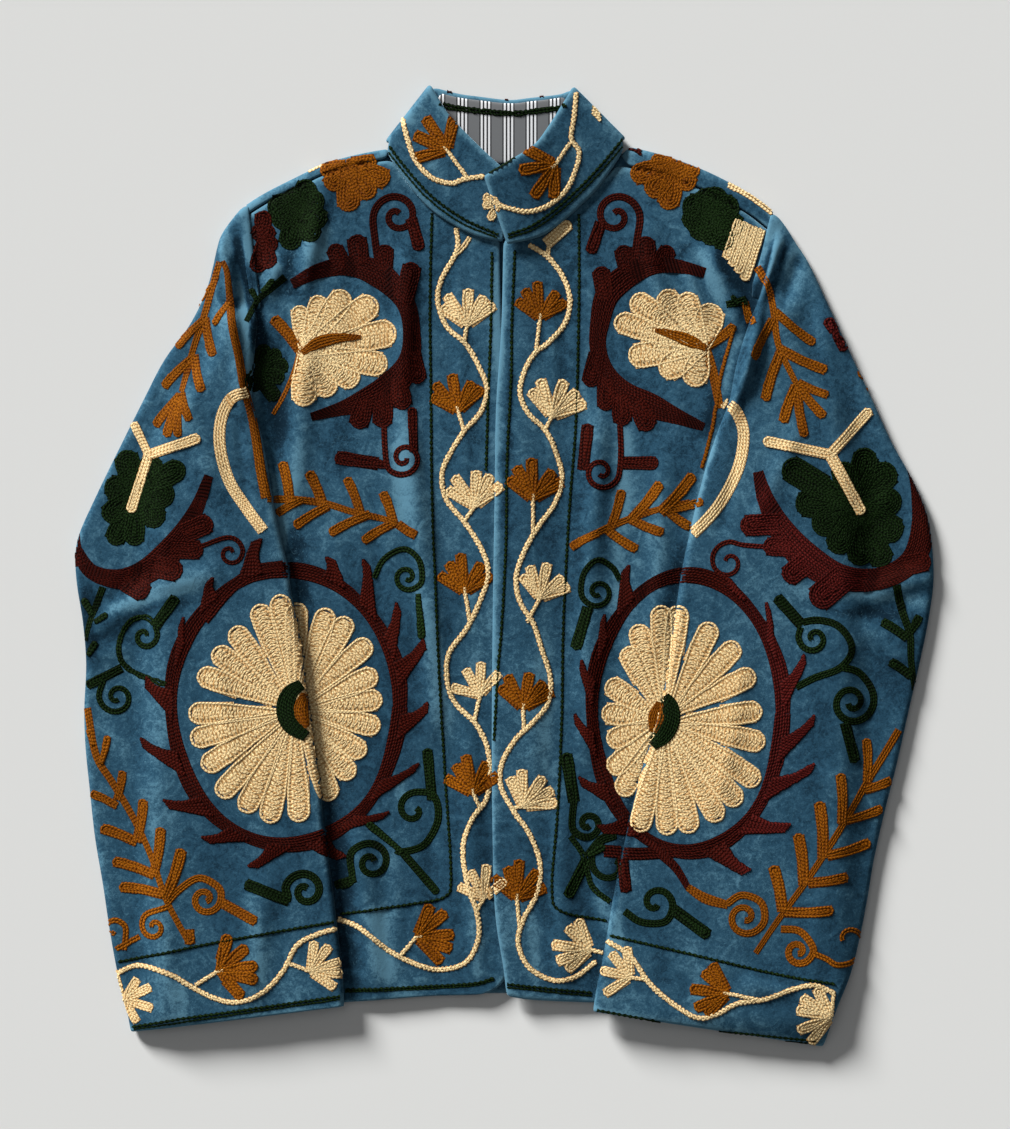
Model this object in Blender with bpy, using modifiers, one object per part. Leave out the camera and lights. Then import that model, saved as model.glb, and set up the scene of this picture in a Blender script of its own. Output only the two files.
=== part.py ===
"""A lined velvet jacket with a stand collar, laid flat on its back with both sleeves brought down over the fronts.

Lengths are in millimetres until a mesh is made. +X is the right of the picture, +Y is towards the collar and
+Z is up, away from the table. Left and right in a piece's name are the wearer's.
"""

import bisect
import math

import bpy

MM = 0.001
MIDDLE_Y = -0.75  # brings the middle of the laid-out jacket to the origin

# Cloth and clearances
CLOTH = 2.4  # velvet, interlining and striped lining together
COLLAR_CLOTH = 2.8  # the collar has a stiffener as well
LINING = 0.8  # the striped cotton where it shows inside the collar
SEAM = 0.6  # between pieces that are sewn edge to edge
SHOULDER_SEAM = 0.9  # the same along the shoulders, where the edges meet aslant
ARMHOLE = 1.8  # from the body's edge to the middle of the sleeve's first ring
HOLLOW = 2.0  # between the two layers of the body
SLEEVE_HOLLOW = 2.6  # between the two layers of a sleeve
LAY = 0.7  # between a sleeve and the front it lies on
LAP = 0.5  # between the collar and the neckline that it is sewn over
FOLD_REACH = 4.2  # how far a rolled edge takes to turn, seen from above
SEAM_WRAP = {"right": 7.0, "left": 13.0}  # how far the back comes over the shoulder to its seam
OVERLAP = CLOTH + LAP  # lift of the left front over the right one

# Outline of the body, from the hem's corner up the side and the armhole to the shoulder point
SIDE = {
    "right": [(-245, -329), (-244, -200), (-242, -60), (-240, 60), (-234, 96), (-220, 124), (-206, 144),
              (-197, 162), (-193, 178), (-191, 220), (-192, 255), (-194, 272)],
    "left": [(232, -331), (236, -200), (240, -60), (240, 60), (234, 98), (221, 128), (208, 150),
             (199, 170), (194, 187), (194, 220), (197, 248), (201, 266)],
}
UNDERARM = {"right": 178.0, "left": 187.0}  # height at which the armhole ends and the side seam starts
# Top of the body seen from above, from the shoulder point to the neck
SHOULDER = {
    "right": [(-194, 272), (-180, 281), (-157, 292.5), (-135, 303), (-110, 310), (-85, 314.5)],
    "left": [(201, 266), (190, 275.5), (169, 288), (146, 299), (118, 309), (85, 317)],
}
BACK_NECK = [(-85, 314.5), (-60, 307), (-30, 302.5), (0, 301.5), (30, 303), (60, 308.5), (85, 317)]
# Neckline of each front, under the collar, from the shoulder to the centre
NECKLINE = {
    "right": [(-85, 306), (-76, 294), (-63, 281), (-48, 268), (-30, 257), (-14, 250.5), (-4, 248)],
    "left": [(85, 302), (76, 292), (63, 279), (48, 266), (30, 254), (14, 247.5), (0.6, 245.5)],
}
# Front edges from the hem to the neck
FRONT_EDGE = {
    "right": [(-9, -316), (1, -307), (3, -280), (3, -150), (3, 0), (3, 120), (-2, 185), (-4, 248)],
    "left": [(1, -321), (-3, -300), (-9, -220), (-9, -140), (-6, -30), (-6, 60), (-4, 125), (-1, 190), (0.6, 245.5)],
}
HEM = {
    "right": [(-245, -329), (-180, -329), (-120, -327), (-60, -323), (-25, -321), (-9, -316)],
    "left": [(232, -331), (170, -330), (110, -329), (56, -327), (20, -325), (1, -321)],
    "back": [(-245, -329), (-150, -326), (0, -320), (140, -326), (232, -331)],
}

# Sleeves: the two ends of each section seen from above, from the armhole to the cuff
SLEEVE_SECTIONS = {
    "right": [
        # outer x, outer y, inner x, inner y
        (-203, 262, -200, 190),
        (-212, 249, -197, 172),
        (-216, 235, -192, 148),
        (-223, 208, -190, 121),
        (-236, 181, -184, 101),
        (-255, 155, -179, 77),
        (-271, 124, -175, 50),
        (-289, 88, -170, 26),
        (-307, 51, -164, 1),
        (-320.5, 19, -160, -26),
        (-321, -9, -154, -56),
        (-316, -41, -151, -84),
        (-313.5, -73, -147, -112),
        (-315, -107, -143, -140),
        (-314, -136, -139, -168),
        (-311, -166, -137, -192),
        (-307, -203, -133, -220),
        (-301, -238, -129, -250),
        (-296, -272, -126, -276),
        (-290, -305, -123, -300),
        (-283, -333, -122, -319),
        (-280, -349, -121.5, -329),
    ],
    "left": [
        # outer x, outer y, inner x, inner y
        (210, 255, 202, 198),
        (218, 242, 190, 174),
        (226, 230, 176, 145),
        (236, 209, 169, 124),
        (247, 185, 161, 103),
        (258, 161, 153, 80),
        (274, 127, 145, 50),
        (289, 94, 139, 24),
        (305, 65, 134, 0),
        (317, 35, 130, -25),
        (321, -6, 126, -53),
        (317, -40, 122, -82),
        (310, -74, 116, -112),
        (302, -109, 107, -140),
        (293, -149, 98, -172),
        (284, -184, 92, -200),
        (276, -220, 86, -228),
        (271, -250, 81, -254),
        (265, -280, 77, -278),
        (258, -306, 73, -300),
        (247, -332, 69, -319),
        (238, -360, 67, -333),
    ],
}

# Largest folds: ends of each crest, half-width and height; negative is a trough
BODY_FOLDS = {
    "right": [
        # start x, start y, end x, end y, half-width, height
        (-74, 238, -76, 120, 11, 2.6),
        (-76, 120, -60, 0, 12, 3.0),
        (-60, 0, -52, -130, 13, 2.2),
        (-150, 170, -158, 40, 12, 2.4),
        (-168, 230, -186, 196, 8, 2.6),
        (-112, -190, -96, -322, 13, 2.6),
        (-140, 262, -150, 205, 9, 1.8),
        (-28, -120, -22, -318, 10, 1.6),
        (-172, 196, -172, 80, 7, -0.9),
    ],
    "left": [
        # start x, start y, end x, end y, half-width, height
        (150, 240, 176, 176, 9, 3.8),
        (70, 120, 64, -20, 12, 2.8),
        (64, -20, 60, -150, 12, 2.0),
        (104, 262, 118, 190, 11, 2.0),
        (40, -170, 44, -322, 12, 2.2),
        (120, 90, 112, -60, 11, 2.0),
        (168, 206, 150, 120, 8, -0.9),
    ],
}
SLEEVE_FOLDS = {
    "right": [
        # start x, start y, end x, end y, half-width, height
        (-311, -48, -262, -16, 8, 3.2),
        (-262, -16, -214, -4, 9, 2.2),
        (-207, 240, -203, 196, 7, 2.0),
        (-218, 220, -206, 160, 8, 1.8),
        (-250, 150, -214, 60, 13, 1.8),
        (-300, -120, -262, -180, 12, 1.4),
        (-306, -30, -262, 0, 6, -1.0),
        (-180, -230, -190, -326, 12, 1.6),
    ],
    "left": [
        # start x, start y, end x, end y, half-width, height
        (214, 246, 196, 186, 8, 2.0),
        (190, 180, 168, 112, 8, 2.4),
        (322, -4, 270, -22, 8, 2.4),
        (300, -72, 268, -44, 8, 2.2),
        (236, 190, 250, 110, 13, 1.8),
        (216, -318, 176, -312, 8, 1.8),
        (282, -190, 232, -150, 12, 1.4),
        (306, -26, 268, -34, 6, -1.0),
    ],
}

# Collar: edges seen from above, from the side fold to the front end
COLLAR_SEAM = {
    "right": [(-89, 319), (-87.5, 309), (-80, 297), (-69, 282), (-56, 268), (-40, 257), (-22, 248), (-1.5, 243.5)],
    "left": [(90, 321), (88, 311), (80, 298), (69, 283), (56, 270), (43, 258.5), (26, 247), (1.5, 241)],
}
COLLAR_TOP = {
    "right": [(-56, 361), (-51, 353), (-42, 339), (-31, 327), (-19, 315), (-5, 302), (7, 292)],
    "left": [(51, 359.5), (43, 347), (35, 334), (25.5, 320), (18, 313), (6, 305.5), (-16, 292)],
}
COLLAR_BACK_SEAM = [(-89, 319), (-84, 315.5), (-60, 307.6), (-30, 303.1), (0, 302.1), (30, 303.6), (60, 309.1),
                    (84, 317.6), (90, 321)]
COLLAR_BACK_TOP = [(-56, 361), (-50, 359.5), (-34, 355.5), (-19, 353.5), (3, 351), (18, 352.5), (40, 355), (46, 357),
                   (51, 359.5)]
COLLAR_LAP = 5.4  # lift of the collar's left end over its right one
COLLAR_RISE = 4.5  # how much higher a front's top edge stands than its seam
COLLAR_BACK_RISE = 2.6  # how much the back's top edge lifts off the table
COLLAR_TURN = 4.5  # how far the side fold takes to turn, seen from above

VELVET = (0.055, 0.17, 0.30, 1.0)
STRIPE = (0.42, 0.43, 0.45, 1.0)


def smoothstep(low, high, x):
    t = min(1.0, max(0.0, (x - low) / (high - low)))
    return t * t * (3 - 2 * t)


def mix(a, b, t):
    return tuple(p + (q - p) * t for p, q in zip(a, b))


def curve(points, steps=12):
    """A smooth line through the points, as a function of the share of its length."""
    ends = [mix(points[0], points[1], -1), *points, mix(points[-1], points[-2], -1)]
    line = []
    for a, b, c, d in zip(ends, ends[1:], ends[2:], ends[3:]):
        for k in range(steps):
            t = k / steps
            line.append(tuple(
                0.5 * (2 * q + (r - p) * t + (2 * p - 5 * q + 4 * r - s) * t * t + (3 * q - p - 3 * r + s) * t**3)
                for p, q, r, s in zip(a, b, c, d)
            ))
    line.append(points[-1])
    far = [0.0]
    for a, b in zip(line, line[1:]):
        far.append(far[-1] + math.dist(a, b))

    def at(share):
        want = min(1.0, max(0.0, share)) * far[-1]
        i = min(len(line) - 2, max(0, bisect.bisect_right(far, want) - 1))
        return mix(line[i], line[i + 1], (want - far[i]) / max(1e-9, far[i + 1] - far[i]))

    at.length = far[-1]
    at.line = line
    return at


def joined(first, second, share):
    """Two lines end to end, the first taking that share of the way."""
    return lambda t: first(t / share) if t < share else second((t - share) / (1 - share))


SIDE_CURVE = {name: curve(points) for name, points in SIDE.items()}
HEM_CURVE = {name: curve(points) for name, points in HEM.items()}
SHOULDER_CURVE = {name: curve(points) for name, points in SHOULDER.items()}
NECK_CURVE = curve(BACK_NECK)


def side_x(name, y):
    """Where the body's outline is at that height."""
    line = SIDE_CURVE[name].line
    for (x0, y0), (x1, y1) in zip(line, line[1:]):
        if y0 <= y <= y1:
            return x0 + (x1 - x0) * (y - y0) / max(1e-9, y1 - y0)
    return line[0][0] if y < line[0][1] else line[-1][0]


def fold_height(folds, x, y):
    """Sum of the soft crests at a place: each fades out sideways and towards its ends."""
    total = 0.0
    for x0, y0, x1, y1, half_width, height in folds:
        along_x, along_y = x1 - x0, y1 - y0
        length = math.hypot(along_x, along_y)
        share = ((x - x0) * along_x + (y - y0) * along_y) / length**2
        across = ((x - x0) * along_y - (y - y0) * along_x) / length
        ends = smoothstep(-0.12, 0.22, share) * (1 - smoothstep(0.78, 1.12, share))
        total += height * math.exp(-((across / half_width) ** 2)) * ends
    return total


def front_height(name, x, y):
    """Height of the middle of a front's cloth."""
    lift = OVERLAP * (1 - smoothstep(10, 44, x)) if name == "left" else 0.0
    fade = smoothstep(0, 26, abs(x - side_x(name, y)))
    return 1.5 * CLOTH + HOLLOW + lift + fade * fold_height(BODY_FOLDS[name], x, y)


def hem_y(x):
    """Height of the hem on the page, the lowest of the fronts and the back."""
    return -329.0 + 8.0 * math.exp(-((x + 10) / 70) ** 2)


def under_sleeve(name, x, y):
    """Top of what a sleeve lies on: the front, the table, or the slope of cloth between them."""
    sign = -1 if name == "right" else 1
    inside = sign * (side_x(name, min(y, UNDERARM[name])) - x)
    on_body = smoothstep(-36, -11, inside) * smoothstep(-36, -5, y - hem_y(x))
    on_body *= 1 - smoothstep(UNDERARM[name] + 8, UNDERARM[name] + 32, y)
    return (front_height(name, x, y) + CLOTH / 2 + LAY) * on_body


def grid_mesh(name, rows, thickness, colour, closed=False):
    """A wall of that thickness through a grid of points; closed joins the ends of each row into a ring."""
    count = len(rows[0])
    points = [(x * MM, (y + MIDDLE_Y) * MM, z * MM) for row in rows for x, y, z in row]
    faces = []
    for i in range(len(rows) - 1):
        for j in range(count if closed else count - 1):
            k = (j + 1) % count
            faces.append((i * count + j, i * count + k, (i + 1) * count + k, (i + 1) * count + j))
    mesh = bpy.data.meshes.new(name)
    mesh.from_pydata(points, [], faces)
    mesh.update()
    mesh.shade_smooth()
    obj = bpy.data.objects.new(name, mesh)
    wall = obj.modifiers.new("wall", "SOLIDIFY")
    wall.thickness = thickness * MM
    wall.offset = 0
    wall.use_even_offset = False
    collection.objects.link(obj)
    mesh.materials.append(material(name, colour))
    return obj


def material(name, colour):
    made = bpy.data.materials.new(name + "_cloth")
    made.use_nodes = True
    shader = made.node_tree.nodes["Principled BSDF"]
    shader.inputs["Base Color"].default_value = colour
    shader.inputs["Roughness"].default_value = 0.85
    shader.inputs["Metallic"].default_value = 0.0
    return made


def coons(bottom, top, left, right, u, v):
    """The point of a patch that four edge lines bound."""
    a, b, c, d = bottom(u), top(u), left(v), right(v)
    corners = [bottom(0), bottom(1), top(0), top(1)]
    return tuple(
        (1 - v) * a[i] + v * b[i] + (1 - u) * c[i] + u * d[i]
        - (1 - u) * (1 - v) * corners[0][i] - u * (1 - v) * corners[1][i]
        - (1 - u) * v * corners[2][i] - u * v * corners[3][i]
        for i in (0, 1)
    )


ROLL_ANGLES = [0, 34, 62, 90]  # sections round a rolled edge, in degrees from its outermost line


def roll_columns():
    """Distance in from a rolled edge, and the angle there."""
    return [(FOLD_REACH * (1 - math.cos(math.radians(a))), a) for a in ROLL_ANGLES]


def rolled(flat, middle, angle, seamed):
    """Height on a rolled edge, from the seam at the middle to the flat of the cloth."""
    return flat + seamed * (middle - flat) * (1 - math.sin(math.radians(angle)))


def seam_share(name, y):
    """1 along the side seam, 0 along the armhole."""
    return 1 - smoothstep(UNDERARM[name] - 8, UNDERARM[name] + 12, y)


BACK_HEIGHT = 610.0
SHOULDER_SHARE, NECK_SHARE = 0.27, 0.43  # shares of the back's width at its top


def back_top(u):
    """The top edge of the back seen from above, from the right shoulder point to the left one."""
    if u < SHOULDER_SHARE:
        return SHOULDER_CURVE["right"](u / SHOULDER_SHARE)
    if u < SHOULDER_SHARE + NECK_SHARE:
        return NECK_CURVE((u - SHOULDER_SHARE) / NECK_SHARE)
    return SHOULDER_CURVE["left"]((1 - u) / (1 - SHOULDER_SHARE - NECK_SHARE))


def back_place(u, along):
    """A place on the body, across it and up from the hem."""
    return coons(HEM_CURVE["back"], back_top, SIDE_CURVE["right"], SIDE_CURVE["left"], u, along / BACK_HEIGHT)


def shoulder_seam(name):
    """Top edge of a front, just below the edge of the back that comes over the shoulder."""
    sign = -1 if name == "right" else 1
    start = 0.0 if name == "right" else 1.0
    along = BACK_HEIGHT - SEAM_WRAP[name] - SHOULDER_SEAM
    points = [back_place(start - sign * k * 0.052, along) for k in range(5)]
    return [*points, NECKLINE[name][0]]


def make_front(name):
    """One front, from its side seam to its front edge."""
    seam_line = shoulder_seam(name)
    left = curve([*SIDE[name][:-2], seam_line[0]])
    top = joined(curve(seam_line), curve(NECKLINE[name]), 0.5)
    bottom, right = curve(HEM[name]), curve(FRONT_EDGE[name])
    width = 236.0
    columns = [(d / width, a) for d, a in roll_columns()]
    upright = columns[1][0]
    columns += [(u, 90) for u in (0.05, 0.11, 0.18, 0.25, 0.32, 0.38, 0.44, 0.5, 0.56, 0.62, 0.68, 0.74, 0.8, 0.86,
                                  0.91, 0.955, 1.0)]
    rows = []
    for v in [k / 21 for k in range(22)]:
        row = []
        for u, angle in columns:
            x, y = coons(bottom, top, left, right, u or upright * seam_share(name, left(v)[1]), v)
            flat = front_height(name, x, y)
            middle = (flat + CLOTH / 2) / 2 + SEAM / 2
            row.append((x, y, rolled(flat, middle, angle, seam_share(name, y))))
        rows.append(row if name == "right" else row[::-1])
    return grid_mesh("front_" + name, rows, CLOTH, VELVET)


def make_back():
    """The back, whose shoulders come over the top edge to a seam on the front side."""
    width, height = 440.0, BACK_HEIGHT
    edge = [(d / width, a) for d, a in roll_columns()]
    inner = [0.035, 0.08, 0.13, 0.18, 0.225, 0.255, 0.27, 0.285, 0.31, 0.36, 0.42, 0.485]
    columns = [*edge, *((u, 90) for u in inner), *((1 - u, 90) for u in inner[::-1])]
    columns += [(1 - u, a) for u, a in edge[::-1]]
    turn = math.pi * FOLD_REACH * 0.62
    steps = [0, 0.07, 0.15, 0.23, 0.32, 0.41, 0.5, 0.59, 0.68, 0.76, 0.82, 0.865, 0.9, 0.925, 0.943, 0.956, 0.966,
             0.9725, 0.979, 0.9855, 0.9925, 1.0]
    rows = []
    for share in steps:
        row = []
        for u, angle in columns:
            name = "right" if u < 0.5 else "left"
            reach = SHOULDER[name][-1][0]
            top_x = back_top(u)[0]
            wrapped = smoothstep(1, 5, (reach - top_x) if name == "right" else (top_x - reach))
            end = height - 0.3 + wrapped * (turn - FOLD_REACH + SEAM_WRAP[name] - FOLD_REACH + 0.3)
            far = share * end
            start = height - FOLD_REACH
            if far <= start:
                along, tilt = far, -90.0
            elif far <= start + turn:
                tilt = -90 + 180 * (far - start) / turn
                along = start + FOLD_REACH * math.cos(math.radians(tilt))
            else:
                along, tilt = start - (far - start - turn), 90.0
            if wrapped == 0:
                along, tilt = far, -90.0
            if u in (0, 1):
                level = (SIDE_CURVE["right"] if u == 0 else SIDE_CURVE["left"])(along / height)[1]
                inset = edge[1][0] * seam_share(name, level) * (tilt < 0)
                x, y = back_place(inset if u == 0 else 1 - inset, along)
            else:
                x, y = back_place(u, along)
            under = CLOTH / 2
            over = front_height(name, x, y)
            z = (under + over) / 2 + (over - under) / 2 * math.sin(math.radians(tilt))
            if tilt < 0:
                middle = (front_height(name, x, y) + under) / 2 - SEAM / 2
                z = rolled(z, middle, angle, seam_share(name, y)) if angle < 90 else z
            row.append((x, y, z))
        rows.append(row)
    return grid_mesh("back", rows, CLOTH, VELVET)


def hairpin(edges, i, toward):
    """How the ring runs in from an edge line: along the ring, and longer where it meets the edge aslant."""
    before, after = edges[max(0, i - 1)], edges[min(len(edges) - 1, i + 1)]
    run_x, run_y = after[0] - before[0], after[1] - before[1]
    along_x, along_y = toward[0] - edges[i][0], toward[1] - edges[i][1]
    span = math.hypot(along_x, along_y)
    aslant = abs(run_x * along_y - run_y * along_x) / (span * math.hypot(run_x, run_y))
    reach = FOLD_REACH / max(0.3, aslant)
    return (along_x / span * reach, along_y / span * reach)


def sleeve_ring(name, outer, inner, outer_in, inner_in, hollow, armhole):
    """A flattened ring of sleeve between two edges seen from above; the armhole's ring follows the body's edge."""
    sign = -1 if name == "right" else 1
    start = (outer[0] + outer_in[0], outer[1] + outer_in[1])
    end = (inner[0] + inner_in[0], inner[1] + inner_in[1])
    flats = [k / 9 for k in range(10)]
    turn_angles = [-60, -30, 0, 30, 60]

    def heights(x, y):
        if armhole:
            return CLOTH / 2, CLOTH / 2 + CLOTH + hollow
        low = CLOTH / 2 + under_sleeve(name, x, y)
        return low, low + CLOTH + hollow + fold_height(SLEEVE_FOLDS[name], x, y)

    def placed(x, y):
        return (side_x(name, y) + sign * ARMHOLE, y) if armhole else (x, y)

    def turned(edge, across, angle):
        inset = 1 - math.cos(math.radians(angle))
        x, y = edge[0] + across[0] * inset, edge[1] + across[1] * inset
        low, high = heights(x, y)
        x, y = placed(x, y)
        return (x, y, (low + high) / 2 + (high - low) / 2 * math.sin(math.radians(angle)))

    ring = [(*placed(*mix(start, end, f)), heights(*mix(start, end, f))[1]) for f in flats]
    ring += [turned(inner, inner_in, a) for a in turn_angles[::-1]]
    ring += [(*placed(*mix(start, end, f)), heights(*mix(start, end, f))[0]) for f in flats[::-1]]
    ring += [turned(outer, outer_in, a) for a in turn_angles]
    return ring


def make_sleeve(name):
    """One sleeve, a flattened tube from the armhole to the cuff."""
    sign = -1 if name == "right" else 1
    foot = UNDERARM[name] + 22.0
    top = SIDE[name][-1]
    outer = [(top[0] + sign * ARMHOLE, top[1] - 1.0)] + [(a, b) for a, b, _, _ in SLEEVE_SECTIONS[name]]
    inner = [(side_x(name, foot) + sign * ARMHOLE, foot)] + [(c, d) for _, _, c, d in SLEEVE_SECTIONS[name]]
    rings = []
    for i in range(len(outer)):
        outer_in, inner_in = hairpin(outer, i, inner[i]), hairpin(inner, i, outer[i])
        hollow = SLEEVE_HOLLOW
        rings.append(sleeve_ring(name, outer[i], inner[i], outer_in, inner_in, hollow, i == 0))
    return grid_mesh("sleeve_" + name, rings if name == "right" else [r[::-1] for r in rings], CLOTH, VELVET, True)


def collar_lift(name, x):
    """Height of the middle of the collar's cloth at its front seam."""
    lift = COLLAR_LAP * (1 - smoothstep(12, 50, x)) if name == "left" else 0.0
    return 1.5 * CLOTH + HOLLOW + CLOTH / 2 + LAP + COLLAR_CLOTH / 2 + lift


def collar_sections():
    """Pairs of points, on the seam and on the top edge, from the right end round the back to the left end."""
    pairs = []
    low = COLLAR_CLOTH / 2

    def front(name, shares):
        seam, top = curve(COLLAR_SEAM[name]), curve(COLLAR_TOP[name])
        for s in shares:
            (sx, sy), (tx, ty) = seam(s), top(s)
            yield (sx, sy, collar_lift(name, sx)), (tx, ty, collar_lift(name, tx) + COLLAR_RISE)

    shares = [0.05, 0.13, 0.22, 0.32, 0.43, 0.54, 0.65, 0.76, 0.87, 0.94, 1.0]
    pairs += list(front("right", shares[::-1]))

    def side_turn(name, angles):
        sign = -1 if name == "right" else 1
        seam, top = COLLAR_SEAM[name][0], COLLAR_TOP[name][0]
        for angle in angles:
            out = COLLAR_TURN * (math.cos(math.radians(angle)) - 1)
            up = (1 + math.sin(math.radians(angle))) / 2
            seam_high, top_high = collar_lift(name, seam[0]), collar_lift(name, top[0]) + COLLAR_RISE
            yield (
                (seam[0] + sign * out * 0.75, seam[1] + out * 0.25, low + (seam_high - low) * up),
                (top[0] + sign * out * 0.6, top[1] + out * 0.6,
                 low + COLLAR_BACK_RISE + (top_high - low - COLLAR_BACK_RISE) * up),
            )

    pairs += list(side_turn("right", [58, 30, 0, -30, -58]))
    seam, top = curve(COLLAR_BACK_SEAM), curve(COLLAR_BACK_TOP)
    for s in [0.045, 0.1, 0.18, 0.27, 0.37, 0.5, 0.63, 0.73, 0.82, 0.9, 0.955]:
        (sx, sy), (tx, ty) = seam(s), top(s)
        pairs.append(((sx, sy, low), (tx, ty, low + COLLAR_BACK_RISE)))
    pairs += list(side_turn("left", [-58, -30, 0, 30, 58]))
    pairs += list(front("left", shares))
    return pairs


def make_collar():
    rows = []
    for seam, top in collar_sections():
        rows.append([mix(seam, top, w) for w in (0, 0.2, 0.4, 0.6, 0.8, 1.0)])
    return grid_mesh("collar", rows, COLLAR_CLOTH, VELVET)


def make_collar_lining():
    """The striped cotton on the inside of the collar's back, where it shows in the neck."""
    rise = COLLAR_CLOTH + SEAM + LINING / 2
    seam, top = curve(COLLAR_BACK_SEAM), curve(COLLAR_BACK_TOP)
    rows = []
    for s in [0.11, 0.18, 0.27, 0.37, 0.5, 0.63, 0.73, 0.82, 0.89]:
        (sx, sy), (tx, ty) = seam(s), top(s)
        a, b = (sx, sy, rise), (tx, ty, rise + COLLAR_BACK_RISE)
        rows.append([mix(a, b, w) for w in (0.03, 0.25, 0.5, 0.75, 0.97)])
    return grid_mesh("collar_lining", rows, LINING, STRIPE)


for old in list(bpy.data.objects):
    bpy.data.objects.remove(old)
collection = bpy.data.collections.new("velvet_jacket")
bpy.context.scene.collection.children.link(collection)

make_back()
for side in ("right", "left"):
    make_front(side)
    make_sleeve(side)
make_collar()
make_collar_lining()
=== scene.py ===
import bisect
import math

import bpy
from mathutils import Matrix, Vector, noise
from mathutils.bvhtree import BVHTree


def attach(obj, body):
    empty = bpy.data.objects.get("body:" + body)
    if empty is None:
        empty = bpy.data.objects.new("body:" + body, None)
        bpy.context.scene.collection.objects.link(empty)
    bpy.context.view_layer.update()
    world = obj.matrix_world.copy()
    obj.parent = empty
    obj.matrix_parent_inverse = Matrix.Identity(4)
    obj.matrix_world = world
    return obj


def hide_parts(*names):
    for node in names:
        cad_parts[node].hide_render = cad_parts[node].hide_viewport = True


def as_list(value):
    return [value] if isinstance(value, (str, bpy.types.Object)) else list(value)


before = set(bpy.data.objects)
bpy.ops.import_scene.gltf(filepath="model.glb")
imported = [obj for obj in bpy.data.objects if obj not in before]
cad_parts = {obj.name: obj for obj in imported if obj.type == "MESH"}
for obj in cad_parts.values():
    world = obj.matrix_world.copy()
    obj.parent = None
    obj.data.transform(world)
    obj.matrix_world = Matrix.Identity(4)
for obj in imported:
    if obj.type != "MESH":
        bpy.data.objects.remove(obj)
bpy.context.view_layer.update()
bpy.context.scene.view_settings.view_transform = "Standard"

# Lengths are in millimetres until a mesh is made. Left and right in a name are the wearer's.
mm = 0.001
middleY = -0.75
pageUnit = 0.75  # one step on the page on which the embroidery is laid out
pageX, pageY, pageHeight = 505, 567, 1129

clothSizes = {
    "cloth": 2.4, "collarCloth": 2.8, "lining": 0.8, "hollow": 2.0, "sleeveHollow": 2.6,
    "lay": 0.7, "lap": 0.5, "seam": 0.5, "shoulderSeam": 0.7, "armhole": 1.0, "foldReach": 4.2,
    "backHeight": 610.0, "shoulderShare": 0.27, "neckShare": 0.43,
    "collarLap": 5.4, "collarRise": 4.5, "collarBackRise": 2.6, "collarTurn": 4.5,
}
seamWrap = {"right": 7.0, "left": 13.0}
underarm = {"right": 178.0, "left": 187.0}
overlapLift = clothSizes["cloth"] + clothSizes["lay"]

sideLine = {
    "right": [(-245, -329), (-244, -200), (-242, -60), (-240, 60), (-234, 96), (-220, 124), (-206, 144),
              (-197, 162), (-193, 178), (-191, 220), (-192, 255), (-194, 272)],
    "left": [(232, -331), (236, -200), (240, -60), (240, 60), (234, 98), (221, 128), (208, 150),
             (199, 170), (194, 187), (194, 220), (197, 248), (201, 266)],
}
shoulderLine = {
    "right": [(-194, 272), (-180, 281), (-157, 292.5), (-135, 303), (-110, 310), (-85, 314.5)],
    "left": [(201, 266), (190, 275.5), (169, 288), (146, 299), (118, 309), (85, 317)],
}
backNeck = [(-85, 314.5), (-60, 307), (-30, 302.5), (0, 301.5), (30, 303), (60, 308.5), (85, 317)]
neckline = {
    "right": [(-85, 306), (-76, 294), (-63, 281), (-48, 268), (-30, 257), (-14, 250.5), (-4, 248)],
    "left": [(85, 302), (76, 292), (63, 279), (48, 266), (30, 254), (14, 247.5), (0.6, 245.5)],
}
frontEdge = {
    "right": [(-19, -321), (-11, -319), (-1, -312), (2.5, -302), (3, -280), (3, -150), (3, 0), (3, 120),
              (-2, 185), (-4, 248)],
    "left": [(1, -322), (-1.5, -300), (-8, -255), (-10, -170), (-10, -85), (-9, 0), (-8, 60), (-7, 120),
             (-3, 180), (-1.5, 240), (-1, 245.5)],
}
hemLine = {
    "right": [(-245, -329), (-180, -329), (-120, -327), (-60, -322.5), (-30, -321.5), (-19, -321)],
    "left": [(232, -331), (170, -330), (110, -329), (75, -327.5), (56, -327), (20, -325), (1, -322)],
    "back": [(-245, -329), (-150, -326), (0, -321), (140, -326), (232, -331)],
}
sleeveSections = {
    "right": [
        # outer x, outer y, inner x, inner y
        (-203, 262, -187, 186), (-212, 249, -188, 168), (-216, 235, -190, 146), (-223, 208, -190, 121),
        (-236, 181, -184, 101), (-255, 155, -179, 77), (-271, 124, -175, 50), (-289, 88, -170, 26),
        (-307, 51, -164, 1), (-320.5, 19, -160, -26), (-321, -9, -154, -56), (-316, -41, -151, -84),
        (-313.5, -73, -147, -112), (-315, -107, -143, -140), (-314, -136, -139, -168), (-311, -166, -137, -192),
        (-307, -203, -133, -220), (-301, -238, -129, -250), (-296, -272, -126, -276), (-290, -305, -123, -300),
        (-283, -333, -122, -319), (-280, -349, -121.5, -329),
    ],
    "left": [
        # outer x, outer y, inner x, inner y
        (210, 255, 188, 192), (218, 242, 181, 174), (226, 230, 174, 150), (236, 209, 169, 124),
        (247, 185, 161, 103), (258, 161, 153, 80), (274, 127, 145, 50), (289, 94, 139, 24),
        (305, 65, 134, 0), (317, 35, 130, -25), (321, -6, 126, -53), (317, -40, 122, -82),
        (310, -74, 116, -112), (302, -109, 107, -140), (293, -149, 98, -172), (284, -184, 92, -200),
        (276, -220, 86, -228), (271, -250, 81, -254), (265, -280, 77, -278), (258, -306, 73, -300),
        (247, -332, 69, -319), (238, -360, 67, -333),
    ],
}
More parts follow.
